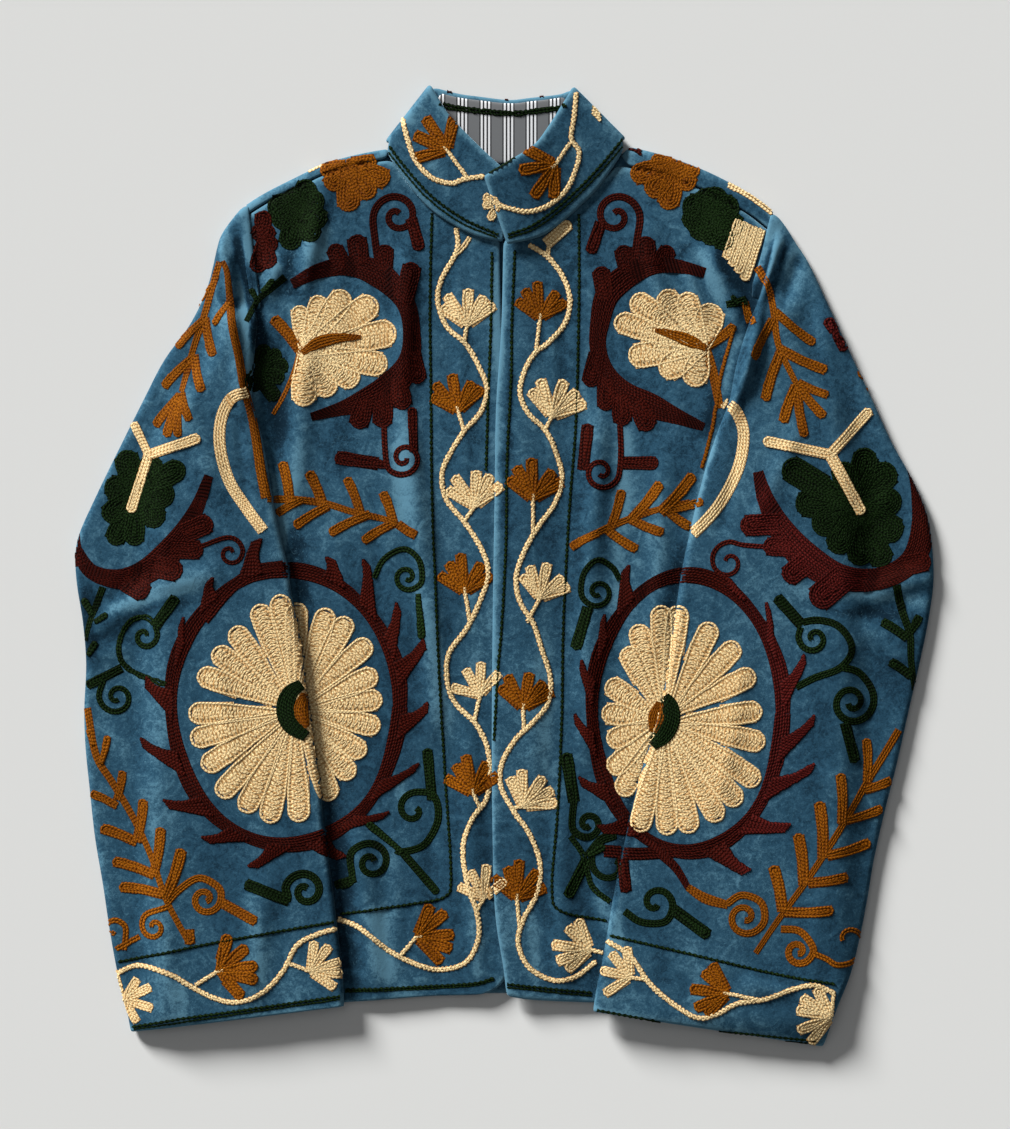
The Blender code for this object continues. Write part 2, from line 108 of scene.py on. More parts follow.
bodyFolds = {
    "right": [
        # start x, start y, end x, end y, half-width, height
        (-184, 226, -188, 150, 8, -3.4), (-176, 232, -176, 205, 6, 2.4), (-136, 292, -150, 215, 7, 1.8),
        (-74, 238, -76, 120, 11, 2.6), (-76, 120, -60, 0, 12, 3.0), (-60, 0, -52, -130, 13, 2.2),
        (-150, 170, -158, 40, 12, 2.4), (-168, 230, -186, 196, 8, 2.6), (-112, -190, -96, -322, 13, 2.6),
        (-140, 262, -150, 205, 9, 1.8), (-28, -120, -22, -318, 10, 1.6), (-172, 196, -172, 80, 7, -0.9),
        (-100, 60, -92, -60, 7, -0.8), (-36, 230, -30, 60, 6, 0.7), (-118, 250, -112, 150, 7, -0.8),
        (-58, -200, -50, -322, 7, -1.0), (-84, -210, -80, -322, 5, 0.8), (-130, 30, -118, -40, 6, 0.8),
    ],
    "left": [
        # start x, start y, end x, end y, half-width, height
        (182, 222, 190, 176, 8, -3.6), (134, 228, 148, 190, 6, 2.0), (150, 240, 176, 176, 9, 3.8),
        (70, 120, 64, -20, 12, 2.8), (64, -20, 60, -150, 12, 2.0),
        (104, 262, 118, 190, 11, 2.0), (40, -170, 44, -322, 12, 2.2), (120, 90, 112, -60, 11, 2.0),
        (168, 206, 150, 120, 8, -0.9), (36, 220, 34, 60, 6, 0.8), (90, 10, 84, -90, 6, -0.8),
        (22, -60, 24, -200, 7, 0.8), (62, -200, 66, -322, 6, -0.8), (130, 150, 128, 90, 6, 0.8),
    ],
}
sleeveFolds = {
    "right": [
        # start x, start y, end x, end y, half-width, height
        (-214, 246, -206, 200, 7, 3.4), (-206, 200, -196, 120, 7, 2.6), (-313, -50, -262, -16, 7, 3.6),
        (-262, -16, -214, -4, 8, 2.4), (-207, 240, -203, 196, 7, 2.0),
        (-218, 220, -206, 160, 8, 1.8), (-250, 150, -214, 60, 13, 1.8), (-300, -120, -262, -180, 12, 1.4),
        (-308, -34, -262, 2, 5, -1.4), (-180, -230, -190, -326, 12, 1.6), (-312, -66, -280, -62, 6, 1.6),
        (-240, 60, -200, 20, 9, 1.0), (-220, -60, -200, -160, 10, 0.9), (-258, -230, -250, -330, 10, 1.0),
        (-200, 110, -192, 40, 6, -0.9), (-286, 40, -240, 20, 8, 0.9),
    ],
    "left": [
        # start x, start y, end x, end y, half-width, height
        (206, 250, 190, 196, 7, 3.4), (190, 196, 178, 130, 7, 2.4), (222, 236, 206, 190, 8, -1.6),
        (190, 180, 168, 112, 8, 2.4), (322, -4, 270, -22, 7, 2.8),
        (300, -72, 268, -44, 8, 2.2), (236, 190, 250, 110, 13, 1.8), (216, -318, 176, -312, 8, 1.8),
        (282, -190, 232, -150, 12, 1.4), (308, -24, 262, -38, 5, -1.5), (222, 110, 186, 30, 9, 1.2),
        (180, -60, 160, -180, 9, 1.0), (236, -230, 226, -330, 10, 1.0), (176, 100, 160, 20, 6, -0.8),
        (296, 60, 262, 30, 8, 1.0),
    ],
}
collarSeam = {
    "right": [(-89, 319), (-87.5, 309), (-80, 297), (-69, 282), (-56, 268), (-40, 257), (-22, 248), (-1.5, 243.5)],
    "left": [(90, 321), (88, 311), (80, 298), (69, 283), (56, 270), (43, 258.5), (26, 247), (1.5, 241)],
}
collarTop = {
    "right": [(-56, 361), (-51, 353), (-42, 339), (-31, 327), (-19, 315), (-5, 302), (7, 292)],
    "left": [(51, 359.5), (43, 347), (35, 334), (25.5, 320), (18, 313), (6, 305.5), (-16, 292)],
}
collarBackSeam = [(-89, 319), (-84, 315.5), (-60, 307.6), (-30, 303.1), (0, 302.1), (30, 303.6), (60, 309.1),
                  (84, 317.6), (90, 321)]
collarBackTop = [(-56, 361), (-50, 359.5), (-34, 355.5), (-19, 353.5), (3, 351), (18, 352.5), (40, 355),
                 (46, 357), (51, 359.5)]


def smoothstep(low, high, x):
    t = min(1.0, max(0.0, (x - low) / (high - low)))
    return t * t * (3 - 2 * t)


def mix(a, b, t):
    return tuple(p + (q - p) * t for p, q in zip(a, b))


def splineAt(points, t):
    i = min(len(points) - 2, max(0, int(t)))
    t -= i
    a = points[i - 1] if i else mix(points[0], points[1], -1)
    b, c = points[i], points[i + 1]
    d = points[i + 2] if i + 2 < len(points) else mix(points[-1], points[-2], -1)
    return tuple(
        0.5 * (2 * q + (r - p) * t + (2 * p - 5 * q + 4 * r - s) * t * t + (3 * q - p - 3 * r + s) * t**3)
        for p, q, r, s in zip(a, b, c, d)
    )


def curve(points, steps=12):
    line = [splineAt(points, k / steps) for k in range((len(points) - 1) * steps + 1)]
    far = [0.0]
    for a, b in zip(line, line[1:]):
        far.append(far[-1] + math.dist(a, b))

    def at(share):
        want = min(1.0, max(0.0, share)) * far[-1]
        i = min(len(line) - 2, max(0, bisect.bisect_right(far, want) - 1))
        return mix(line[i], line[i + 1], (want - far[i]) / max(1e-9, far[i + 1] - far[i]))

    at.length = far[-1]
    at.line = line
    return at


def joined(first, second, share):
    return lambda t: first(t / share) if t < share else second((t - share) / (1 - share))


sideCurve = {k: curve(v) for k, v in sideLine.items()}
hemCurve = {k: curve(v) for k, v in hemLine.items()}
shoulderCurve = {k: curve(v) for k, v in shoulderLine.items()}
neckCurve = curve(backNeck)


def sideX(name, y):
    line = sideCurve[name].line
    for (x0, y0), (x1, y1) in zip(line, line[1:]):
        if y0 <= y <= y1:
            return x0 + (x1 - x0) * (y - y0) / max(1e-9, y1 - y0)
    return line[0][0] if y < line[0][1] else line[-1][0]


foldShape = {"rise": 1.7, "narrow": 0.66, "reach": 2.2, "start": (-0.12, 0.22), "end": (0.78, 1.12)}


def foldHeight(folds, x, y):
    rise, narrow, reach, start, end = foldShape.values()
    total = 0.0
    for x0, y0, x1, y1, halfWidth, height in folds:
        alongX, alongY = x1 - x0, y1 - y0
        length = math.hypot(alongX, alongY)
        share = ((x - x0) * alongX + (y - y0) * alongY) / length**2
        across = ((x - x0) * alongY - (y - y0) * alongX) / length
        if abs(across) > reach * halfWidth or not start[0] < share < end[1]:
            continue
        ends = smoothstep(*start, share) * (1 - smoothstep(*end, share))
        total += rise * height * math.exp(-((across / (narrow * halfWidth)) ** 2)) * ends
    return total


def rumple(x, y, seed):
    broad = noise.noise(Vector((x / 46, y / 70, seed)))
    fine = noise.noise(Vector((x / 15, y / 22, seed + 9)))
    return 0.75 * broad + 0.22 * fine


def frontHeight(name, x, y):
    lift = overlapLift * (1 - smoothstep(10, 44, x)) if name == "left" else 0.0
    fade = smoothstep(0, 26, abs(x - sideX(name, y)))
    soft = foldHeight(bodyFolds[name], x, y) + rumple(x, y, 3 if name == "left" else 1)
    return 1.5 * clothSizes["cloth"] + clothSizes["hollow"] + lift + fade * soft


def hemY(x):
    return -329.0 + 8.0 * math.exp(-((x + 10) / 70) ** 2)


def underSleeve(name, x, y):
    sign = -1 if name == "right" else 1
    inside = sign * (sideX(name, min(y, underarm[name])) - x)
    onBody = smoothstep(-36, -11, inside) * smoothstep(-36, -5, y - hemY(x))
    onBody *= 1 - smoothstep(underarm[name] + 4, underarm[name] + 26, y)
    return (frontHeight(name, x, y) + clothSizes["cloth"] / 2 + clothSizes["lay"]) * onBody


def coons(bottom, top, left, right, u, v):
    a, b, c, d = bottom(u), top(u), left(v), right(v)
    corners = [bottom(0), bottom(1), top(0), top(1)]
    return tuple(
        (1 - v) * a[i] + v * b[i] + (1 - u) * c[i] + u * d[i]
        - (1 - u) * (1 - v) * corners[0][i] - u * (1 - v) * corners[1][i]
        - (1 - u) * v * corners[2][i] - u * v * corners[3][i]
        for i in (0, 1)
    )


def finish(obj, modifiers):
    bpy.ops.object.select_all(action="DESELECT")
    obj.select_set(True)
    bpy.context.view_layer.objects.active = obj
    for m in modifiers:
        bpy.ops.object.modifier_apply(modifier=m.name)
    bpy.ops.object.shade_smooth()


# strokes of painted light along fold ridges and painted shade along valleys and at the armhole seams
paintedShadeStrokes = [
    # start x, start y, end x, end y on the page, half-width, amount: painted light over 0, painted shade under it
    (327, 222, 319, 260, 12, 0.5), (499, 258, 498, 380, 8, 0.5), (498, 380, 492, 700, 7, 0.25),
    (250, 262, 257, 350, 9, -1.3),
    (222, 230, 236, 258, 6, 1.0), (236, 258, 248, 345, 5, 0.9), (248, 345, 256, 420, 5, 0.7),
    (256, 420, 290, 560, 5, 0.5),
    (236, 240, 242, 290, 6, -0.9), (246, 236, 262, 284, 6, 0.8), (284, 250, 292, 300, 9, -0.6),
    (268, 240, 282, 272, 6, 0.6),
    (254, 200, 262, 214, 6, 0.5), (262, 330, 282, 440, 10, -0.5), (290, 290, 296, 330, 9, 0.3),
    (401, 436, 401, 535, 13, 0.55), (428, 590, 446, 735, 12, 0.45), (398, 770, 403, 812, 9, 0.4),
    (378, 906, 385, 984, 13, 0.8),
    (294, 520, 306, 640, 12, -0.6), (306, 640, 336, 820, 12, -0.6), (336, 820, 350, 984, 12, -0.5),
    (280, 520, 330, 900, 5, 0.3),
    (99, 612, 213, 580, 8, 0.5), (96, 624, 196, 596, 6, -0.4), (86, 585, 92, 668, 8, -0.6),
    (340, 400, 344, 480, 16, -0.45),
    (627, 420, 620, 530, 14, 0.6), (616, 530, 618, 612, 11, 0.4), (606, 890, 612, 960, 12, 0.9),
    (686, 540, 640, 760, 12, -0.6),
    (640, 760, 596, 990, 12, -0.6), (694, 530, 604, 1000, 5, 0.3), (800, 588, 930, 604, 7, 0.5),
    (810, 604, 926, 622, 7, -0.4),
    (766, 236, 742, 330, 8, -1.3), (780, 218, 752, 290, 6, 1.0), (752, 290, 720, 400, 5, 0.8),
    (720, 400, 690, 540, 5, 0.6),
    (718, 250, 746, 296, 7, -0.9), (700, 252, 724, 306, 8, 0.5), (728, 350, 706, 440, 10, -0.5),
    (800, 240, 790, 300, 10, 0.3), (588, 270, 586, 420, 9, 0.3),
    (508, 300, 506, 560, 6, -0.4), (470, 560, 476, 700, 9, 0.3), (545, 600, 548, 800, 10, 0.3),
    (160, 380, 190, 440, 10, 0.25),
    (860, 300, 880, 420, 12, 0.25), (720, 700, 740, 800, 14, 0.25), (250, 880, 262, 990, 12, 0.3),
    (690, 930, 700, 1020, 12, 0.3),
    (470, 900, 480, 985, 9, 0.4), (530, 900, 540, 990, 9, 0.4), (180, 980, 186, 1028, 10, 0.35),
    (428, 150, 452, 200, 7, 0.3),
    (560, 160, 590, 140, 7, 0.3), (404, 108, 412, 130, 6, 0.4), (300, 440, 292, 520, 9, 0.3),
    (690, 240, 676, 262, 7, -0.4),
]


broadShadeStrokes = [(*s[:4], 1.25 * s[4], s[5]) for s in paintedShadeStrokes]


def paintedStrokeShade(x, y):
    # the painted strokes of light and shade waver a little along their length
    pageAt = (x / pageUnit + pageX, pageY - y / pageUnit)
    stray = [5 * noise.noise(Vector((pageAt[0] / 26, pageAt[1] / 40, s))) for s in (3.1, 8.4)]
    return foldHeight(broadShadeStrokes, pageAt[0] + stray[0], pageAt[1] + stray[1])


# sizes for the light and shade painted into the velvet's colour
paintedShadeSizes = {"bend": 6.0, "mostBend": 0.12, "stroke": 0.5, "strokesAbove": 0.003}


def paintBendLightAndShade(obj):
    # painted light on ridges and rolled edges and painted shade in the hollows, from how the surface bends, plus the
    # painted strokes of light and shade on the upper layers
    mesh = obj.data
    places = [v.co.copy() for v in mesh.vertices]
    around = [[] for _ in places]
    for edge in mesh.edges:
        a, b = edge.vertices
        around[a].append(b)
        around[b].append(a)
    bends = []
    for v in mesh.vertices:
        near = around[v.index]
        reach = sum((places[k] - v.co).length for k in near) / len(near)
        rise = sum(((places[k] - v.co).dot(v.normal) for k in near)) / len(near)
        most = paintedShadeSizes["mostBend"]
        bends.append(max(-most, min(most, -2 * rise / max(1e-9, reach**2) * mm)))
    for _ in range(3):
        bends = [0.5 * b + 0.5 * sum(bends[k] for k in around[i]) / len(around[i]) for i, b in enumerate(bends)]
    layer = mesh.attributes.new("paintedShade", "FLOAT", "POINT")
    layer.data.foreach_set("value", [
        max(0.0, min(1.0, 0.5 + paintedShadeSizes["bend"] * b + paintedShadeSizes["stroke"]
                     * paintedStrokeShade(v.x / mm, v.y / mm - middleY) * (v.z > paintedShadeSizes["strokesAbove"])))
        for v, b in zip(places, bends)])


def makeCloth(name, rows, thickness, material, closed=False, smoothing=1):
    # a grid primitive shaped to the rows of points, with a wall through it
    across, along = len(rows[0]), len(rows)
    if closed:
        rows = [[*row, row[0]] for row in rows]
        across += 1
    bpy.ops.object.select_all(action="DESELECT")
    bpy.ops.mesh.primitive_grid_add(x_subdivisions=across - 1, y_subdivisions=along - 1, size=1)
    obj = bpy.context.object
    obj.name = name
    obj.data.name = name
    flat = [c for row in rows for x, y, z in row for c in (x * mm, (y + middleY) * mm, z * mm)]
    obj.data.vertices.foreach_set("co", flat)
    obj.data.update()
    if closed:
        bpy.ops.object.mode_set(mode="EDIT")
        bpy.ops.mesh.select_all(action="SELECT")
        bpy.ops.mesh.remove_doubles(threshold=0.00001)
        bpy.ops.object.mode_set(mode="OBJECT")
    wall = obj.modifiers.new("wall", "SOLIDIFY")
    wall.thickness = thickness * mm
    wall.offset = 0
    wall.use_even_offset = False
    soft = obj.modifiers.new("soft", "SUBSURF")
    soft.levels = soft.render_levels = smoothing
    finish(obj, [wall, soft])
    paintBendLightAndShade(obj)
    obj.data.materials.clear()
    obj.data.materials.append(material)
    return obj


# Shaders
def newGroup(name, inputs, outputs):
    group = bpy.data.node_groups.new(name, "ShaderNodeTree")
    for label, kind, value in inputs:
        group.interface.new_socket(label, in_out="INPUT", socket_type=kind).default_value = value
    for label, kind in outputs:
        group.interface.new_socket(label, in_out="OUTPUT", socket_type=kind)
    return group, group.nodes.new("NodeGroupInput"), group.nodes.new("NodeGroupOutput")


def node(tree, kind, links=(), **settings):
    made = tree.nodes.new(kind)
    for key, value in settings.items():
        if hasattr(made, key):
            setattr(made, key, value)
        else:
            made.inputs[key.replace("_", " ")].default_value = value
    for socket, source in links:
        tree.links.new(source, made.inputs[socket])
    return made


def math2(tree, operation, a, b=None, clamp=False):
    made = tree.nodes.new("ShaderNodeMath")
    made.operation = operation
    made.use_clamp = clamp
    for i, value in enumerate((a, b)):
        if value is None:
            continue
        if isinstance(value, (int, float)):
            made.inputs[i].default_value = value
        else:
            tree.links.new(value, made.inputs[i])
    return made.outputs[0]


def mixColour(tree, factor, a, b):
    made = tree.nodes.new("ShaderNodeMix")
    made.data_type = "RGBA"
    for index, value in ((0, factor), (6, a), (7, b)):
        if isinstance(value, (int, float, tuple)):
            made.inputs[index].default_value = value
        else:
            tree.links.new(value, made.inputs[index])
    return made.outputs[2]


def noiseValue(tree, vector, scale, detail=3.0, distortion=0.0):
    made = tree.nodes.new("ShaderNodeTexNoise")
    made.inputs["Scale"].default_value = scale
    made.inputs["Detail"].default_value = detail
    made.inputs["Distortion"].default_value = distortion
    tree.links.new(vector, made.inputs["Vector"])
    return made.outputs["Fac"]


def ramp(tree, value, low, high):
    made = tree.nodes.new("ShaderNodeMapRange")
    made.interpolation_type = "SMOOTHSTEP"
    made.inputs["From Min"].default_value = low
    made.inputs["From Max"].default_value = high
    tree.links.new(value, made.inputs["Value"])
    return made.outputs["Result"]


def bump(tree, height, strength, distance):
    made = tree.nodes.new("ShaderNodeBump")
    made.inputs["Strength"].default_value = strength
    made.inputs["Distance"].default_value = distance
    tree.links.new(height, made.inputs["Height"])
    return made.outputs["Normal"]


def velvetNap():
    # where the pile lies over: broad patches, faint crushed streaks and the fuzz itself
    g, into, out = newGroup("velvetNap", [], [
        ("Shade", "NodeSocketFloat"), ("Streak", "NodeSocketFloat"), ("Normal", "NodeSocketVector")])
    place = g.nodes.new("ShaderNodeTexCoord").outputs["Object"]
    slanted = node(g, "ShaderNodeMapping", [("Vector", place)], Scale=(1.0, 0.45, 1.0)).outputs["Vector"]
    patches = ramp(g, noiseValue(g, slanted, 16, 3, 0.5), 0.25, 0.75)
    crush = ramp(g, noiseValue(g, place, 75, 5, 1.6), 0.3, 0.75)
    scratch = ramp(g, noiseValue(g, place, 170, 4, 4.0), 0.56, 0.74)
    fuzz = noiseValue(g, place, 1400, 2)
    grain = ramp(g, noiseValue(g, place, 520, 3, 1.0), 0.3, 0.7)
    shade = math2(g, "ADD", math2(g, "MULTIPLY", patches, 0.5), math2(g, "MULTIPLY", crush, 0.42))
    shade = math2(g, "ADD", math2(g, "SUBTRACT", shade, 0.1), math2(g, "MULTIPLY", grain, 0.34))
    g.links.new(shade, out.inputs["Shade"])
    g.links.new(math2(g, "MULTIPLY", scratch, math2(g, "ADD", patches, 0.25)), out.inputs["Streak"])
    height = math2(g, "ADD", math2(g, "MULTIPLY", crush, 0.5), math2(g, "MULTIPLY", fuzz, 0.5))
    g.links.new(bump(g, height, 0.25, 0.001), out.inputs["Normal"])
    return g


def chainStitch():
    # rows of links: u runs along the row in millimetres, v across it; painted shade falls in the grooves between rows
    # and between the links
    g, into, out = newGroup("chainStitch", [("Link", "NodeSocketFloat", 2.7)], [
        ("GrooveShade", "NodeSocketFloat"), ("Tone", "NodeSocketFloat"), ("Normal", "NodeSocketVector")])
    uv = node(g, "ShaderNodeUVMap", uv_map="rows")
    split = node(g, "ShaderNodeSeparateXYZ", [("Vector", uv.outputs["UV"])])
    number = math2(g, "FLOOR", math2(g, "DIVIDE", split.outputs["Y"], 2.0))
    v = math2(g, "SUBTRACT", split.outputs["Y"], math2(g, "MULTIPLY", number, 2.0))
    side = math2(g, "ABSOLUTE", math2(g, "SUBTRACT", v, 0.5))
    turn = math2(g, "ADD", math2(g, "DIVIDE", split.outputs["X"], into.outputs["Link"]),
                 math2(g, "MULTIPLY", side, 0.9))
    wave = math2(g, "SINE", math2(g, "MULTIPLY", math2(g, "ADD", turn, math2(g, "MULTIPLY", number, 0.37)),
                                  2 * math.pi))
    loop = ramp(g, wave, -0.75, 0.5)
    own = g.nodes.new("ShaderNodeTexWhiteNoise")
    own.noise_dimensions = "1D"
    g.links.new(number, own.inputs["W"])
    place = g.nodes.new("ShaderNodeTexCoord").outputs["Object"]
    broad = ramp(g, noiseValue(g, place, 14, 2), 0.3, 0.7)
    tone = math2(g, "ADD", math2(g, "MULTIPLY", own.outputs["Value"], 0.5), math2(g, "MULTIPLY", broad, 0.5))
    # painted shade at the row's edges, where rows meet, and in the hollow of each link
    shadeInGrooves = ramp(g, side, 0.24, 0.5)
    dark = math2(g, "ADD", shadeInGrooves, math2(g, "MULTIPLY", math2(g, "SUBTRACT", 1.0, loop), 0.55), True)
    g.links.new(dark, out.inputs["GrooveShade"])
    g.links.new(tone, out.inputs["Tone"])
    g.links.new(bump(g, loop, 0.8, 0.0006), out.inputs["Normal"])
    return g


def insideBars(g, share, bars):
    # 1 inside any of the bars, each a middle and a half-width
    total = None
    for centre, half in bars:
        near = math2(g, "ABSOLUTE", math2(g, "SUBTRACT", share, centre))
        inside = math2(g, "LESS_THAN", near, half)
        total = inside if total is None else math2(g, "ADD", total, inside, True)
    return total


def stripes():
    # groups of three white stripes between dark hairlines, along the length of the cloth
    g, into, out = newGroup("stripes", [("Pitch", "NodeSocketFloat", 0.0173)], [
        ("White", "NodeSocketFloat"), ("Dark", "NodeSocketFloat")])
    place = g.nodes.new("ShaderNodeTexCoord").outputs["Object"]
    split = node(g, "ShaderNodeSeparateXYZ", [("Vector", place)])
    share = math2(g, "FRACT", math2(g, "ADD", math2(g, "DIVIDE", split.outputs["X"], into.outputs["Pitch"]), 20.35))
    white = insideBars(g, share, ((0.34, 0.04), (0.5, 0.045), (0.66, 0.04)))
    dark = insideBars(g, share, ((0.26, 0.022), (0.42, 0.03), (0.58, 0.03), (0.74, 0.022)))
    g.links.new(white, out.inputs["White"])
    g.links.new(dark, out.inputs["Dark"])
    return g


def newMaterial(name, settings):
    made = bpy.data.materials.new(name)
    made.use_nodes = True
    shader = made.node_tree.nodes["Principled BSDF"]
    for key, value in settings.items():
        shader.inputs[key].default_value = value
    return made, made.node_tree, shader


def groupNode(tree, group):
    made = tree.nodes.new("ShaderNodeGroup")
    made.node_tree = group
    return made


velvetLook = {
    "deep": (0.005, 0.017, 0.03, 1), "dark": (0.014, 0.047, 0.08, 1), "mid": (0.021, 0.068, 0.112, 1),
    # painted light: a lighter middle tone for the top of the jacket
    "paintedLitUpper": (0.0255, 0.08, 0.13, 1),
    "light": (0.085, 0.2, 0.275, 1),
    "shader": {"Roughness": 0.95, "Specular IOR Level": 0.03, "Sheen Weight": 0.5, "Sheen Roughness": 0.25,
               "Sheen Tint": (0.5, 0.75, 0.92, 1)},
}
napGroup, chainGroup, stripeGroup = velvetNap(), chainStitch(), stripes()

velvet, tree, shader = newMaterial("blueVelvet", velvetLook["shader"])
nap = groupNode(tree, napGroup)
paintedShade = node(tree, "ShaderNodeAttribute", attribute_name="paintedShade").outputs["Fac"]
# shade: the nap's random tone plus painted light and shade from folds, rolled edges and strokes
shade = math2(tree, "ADD", nap.outputs["Shade"], math2(tree, "MULTIPLY", math2(tree, "SUBTRACT", paintedShade, 0.5), 1.5))
tone = mixColour(tree, ramp(tree, shade, -0.3, 0.45), velvetLook["deep"], velvetLook["dark"])
place = node(tree, "ShaderNodeTexCoord").outputs["Object"]
# painted light: the middle tone grows lighter towards the top, where the light falls more
upward = node(tree, "ShaderNodeSeparateXYZ", [("Vector", place)]).outputs["Y"]
middle = mixColour(tree, ramp(tree, upward, -0.06, 0.1), velvetLook["mid"], velvetLook["paintedLitUpper"])
tone = mixColour(tree, ramp(tree, shade, 0.15, 0.6), tone, middle)
tone = mixColour(tree, ramp(tree, shade, 0.5, 1.25), tone, velvetLook["light"])
tone = mixColour(tree, math2(tree, "MULTIPLY", nap.outputs["Streak"], 0.5), tone, velvetLook["light"])
tree.links.new(tone, shader.inputs["Base Color"])
tree.links.new(nap.outputs["Normal"], shader.inputs["Normal"])

cotton, tree, shader = newMaterial("stripedCotton", {"Roughness": 0.8, "Specular IOR Level": 0.2})
lines = groupNode(tree, stripeGroup)
tone = mixColour(tree, lines.outputs["Dark"], (0.16, 0.165, 0.17, 1), (0.02, 0.02, 0.022, 1))
tone = mixColour(tree, lines.outputs["White"], tone, (0.8, 0.81, 0.82, 1))
tree.links.new(tone, shader.inputs["Base Color"])

threadLooks = {
    # name: lit colour, painted shade colour for the grooves, specular
    "cream": ((1.0, 0.79, 0.42, 1), (0.42, 0.21, 0.06, 1), 0.2),
    "ochre": ((0.36, 0.112, 0.004, 1), (0.07, 0.015, 0.001, 1), 0.04),
    "maroon": ((0.086, 0.0098, 0.0052, 1), (0.0028, 0.0004, 0.0003, 1), 0.03),
    "green": ((0.0135, 0.034, 0.008, 1), (0.0006, 0.0014, 0.0004, 1), 0.03),
}
threads = {}
for name, (lit, shadeInGrooves, specular) in threadLooks.items():
    made, tree, shader = newMaterial(name + "Thread", {"Roughness": 0.6, "Specular IOR Level": specular})
    rows = groupNode(tree, chainGroup)
    if name == "maroon":
        # painted light: the maroon is brighter red in a band far out on the wearer's left side, where the light falls
        # more
        place = node(tree, "ShaderNodeTexCoord").outputs["Object"]
        farther = node(tree, "ShaderNodeSeparateXYZ", [("Vector", place)]).outputs["X"]
        paintedLitBand = math2(tree, "SUBTRACT", ramp(tree, farther, 0.15, 0.21), ramp(tree, farther, 0.25, 0.29))
        lit = mixColour(tree, paintedLitBand, lit, (0.155, 0.0175, 0.0145, 1))
    # a half-shaded copy between the lit colour and the painted groove shade; rows vary at random towards it
    halfShaded = mixColour(tree, 0.35 if name == "cream" else 0.75, lit, shadeInGrooves)
    tone = mixColour(tree, math2(tree, "MULTIPLY", rows.outputs["Tone"], 0.8), lit, halfShaded)
    # painted shade deepens in the grooves and link hollows
    depth = math2(tree, "POWER", rows.outputs["GrooveShade"], 0.62 if name in ("maroon", "green") else 1.0)
    tone = mixColour(tree, math2(tree, "MULTIPLY", depth, 0.94), tone, shadeInGrooves)
    tree.links.new(tone, shader.inputs["Base Color"])
    tree.links.new(rows.outputs["Normal"], shader.inputs["Normal"])
    threads[name] = made
print("materials made")


# Cloth pieces
def backTop(u):
    a, b = clothSizes["shoulderShare"], clothSizes["neckShare"]
    if u < a:
        return shoulderCurve["right"](u / a)
    if u < a + b:
        return neckCurve((u - a) / b)
    return shoulderCurve["left"]((1 - u) / (1 - a - b))


def backPlace(u, along):
    return coons(hemCurve["back"], backTop, sideCurve["right"], sideCurve["left"], u,
                 along / clothSizes["backHeight"])


rollAngles = [0, 20, 40, 60, 75, 90]


def rollColumns():
    return [(clothSizes["foldReach"] * (1 - math.cos(math.radians(a))), a) for a in rollAngles]


def rolled(flat, middle, angle, seamed):
    return flat + seamed * (middle - flat) * (1 - math.sin(math.radians(angle)))


def seamShare(name, y):
    return 1 - smoothstep(underarm[name] - 8, underarm[name] + 12, y)


def makeFront(name, rowCount=84, columnCount=40):
    sign = -1 if name == "right" else 1
    start = 0.0 if name == "right" else 1.0
    along = clothSizes["backHeight"] - seamWrap[name] - clothSizes["shoulderSeam"]
    seamPoints = [backPlace(start - sign * k * 0.052, along) for k in range(5)] + [neckline[name][0]]
    left = curve([*sideLine[name][:-2], seamPoints[0]])
    top = joined(curve(seamPoints), curve(neckline[name]), 0.5)
    bottom, right = curve(hemLine[name]), curve(frontEdge[name])
    columns = [(d / 236.0, a) for d, a in rollColumns()]
    upright = columns[1][0]
    first = columns[-1][0]
    columns += [(first + (1 - first) * (k / columnCount), 90) for k in range(1, columnCount + 1)]
    rows = []
    for k in range(rowCount):
        v = k / (rowCount - 1)
        row = []
        for u, angle in columns:
            x, y = coons(bottom, top, left, right, u or upright * seamShare(name, left(v)[1]), v)
            flat = frontHeight(name, x, y)
            middle = (flat + clothSizes["cloth"] / 2) / 2 + clothSizes["seam"] / 2
            row.append((x, y, rolled(flat, middle, angle, seamShare(name, y))))
        rows.append(row if name == "right" else row[::-1])
    return makeCloth("frontPanel_" + name, rows, clothSizes["cloth"], velvet)


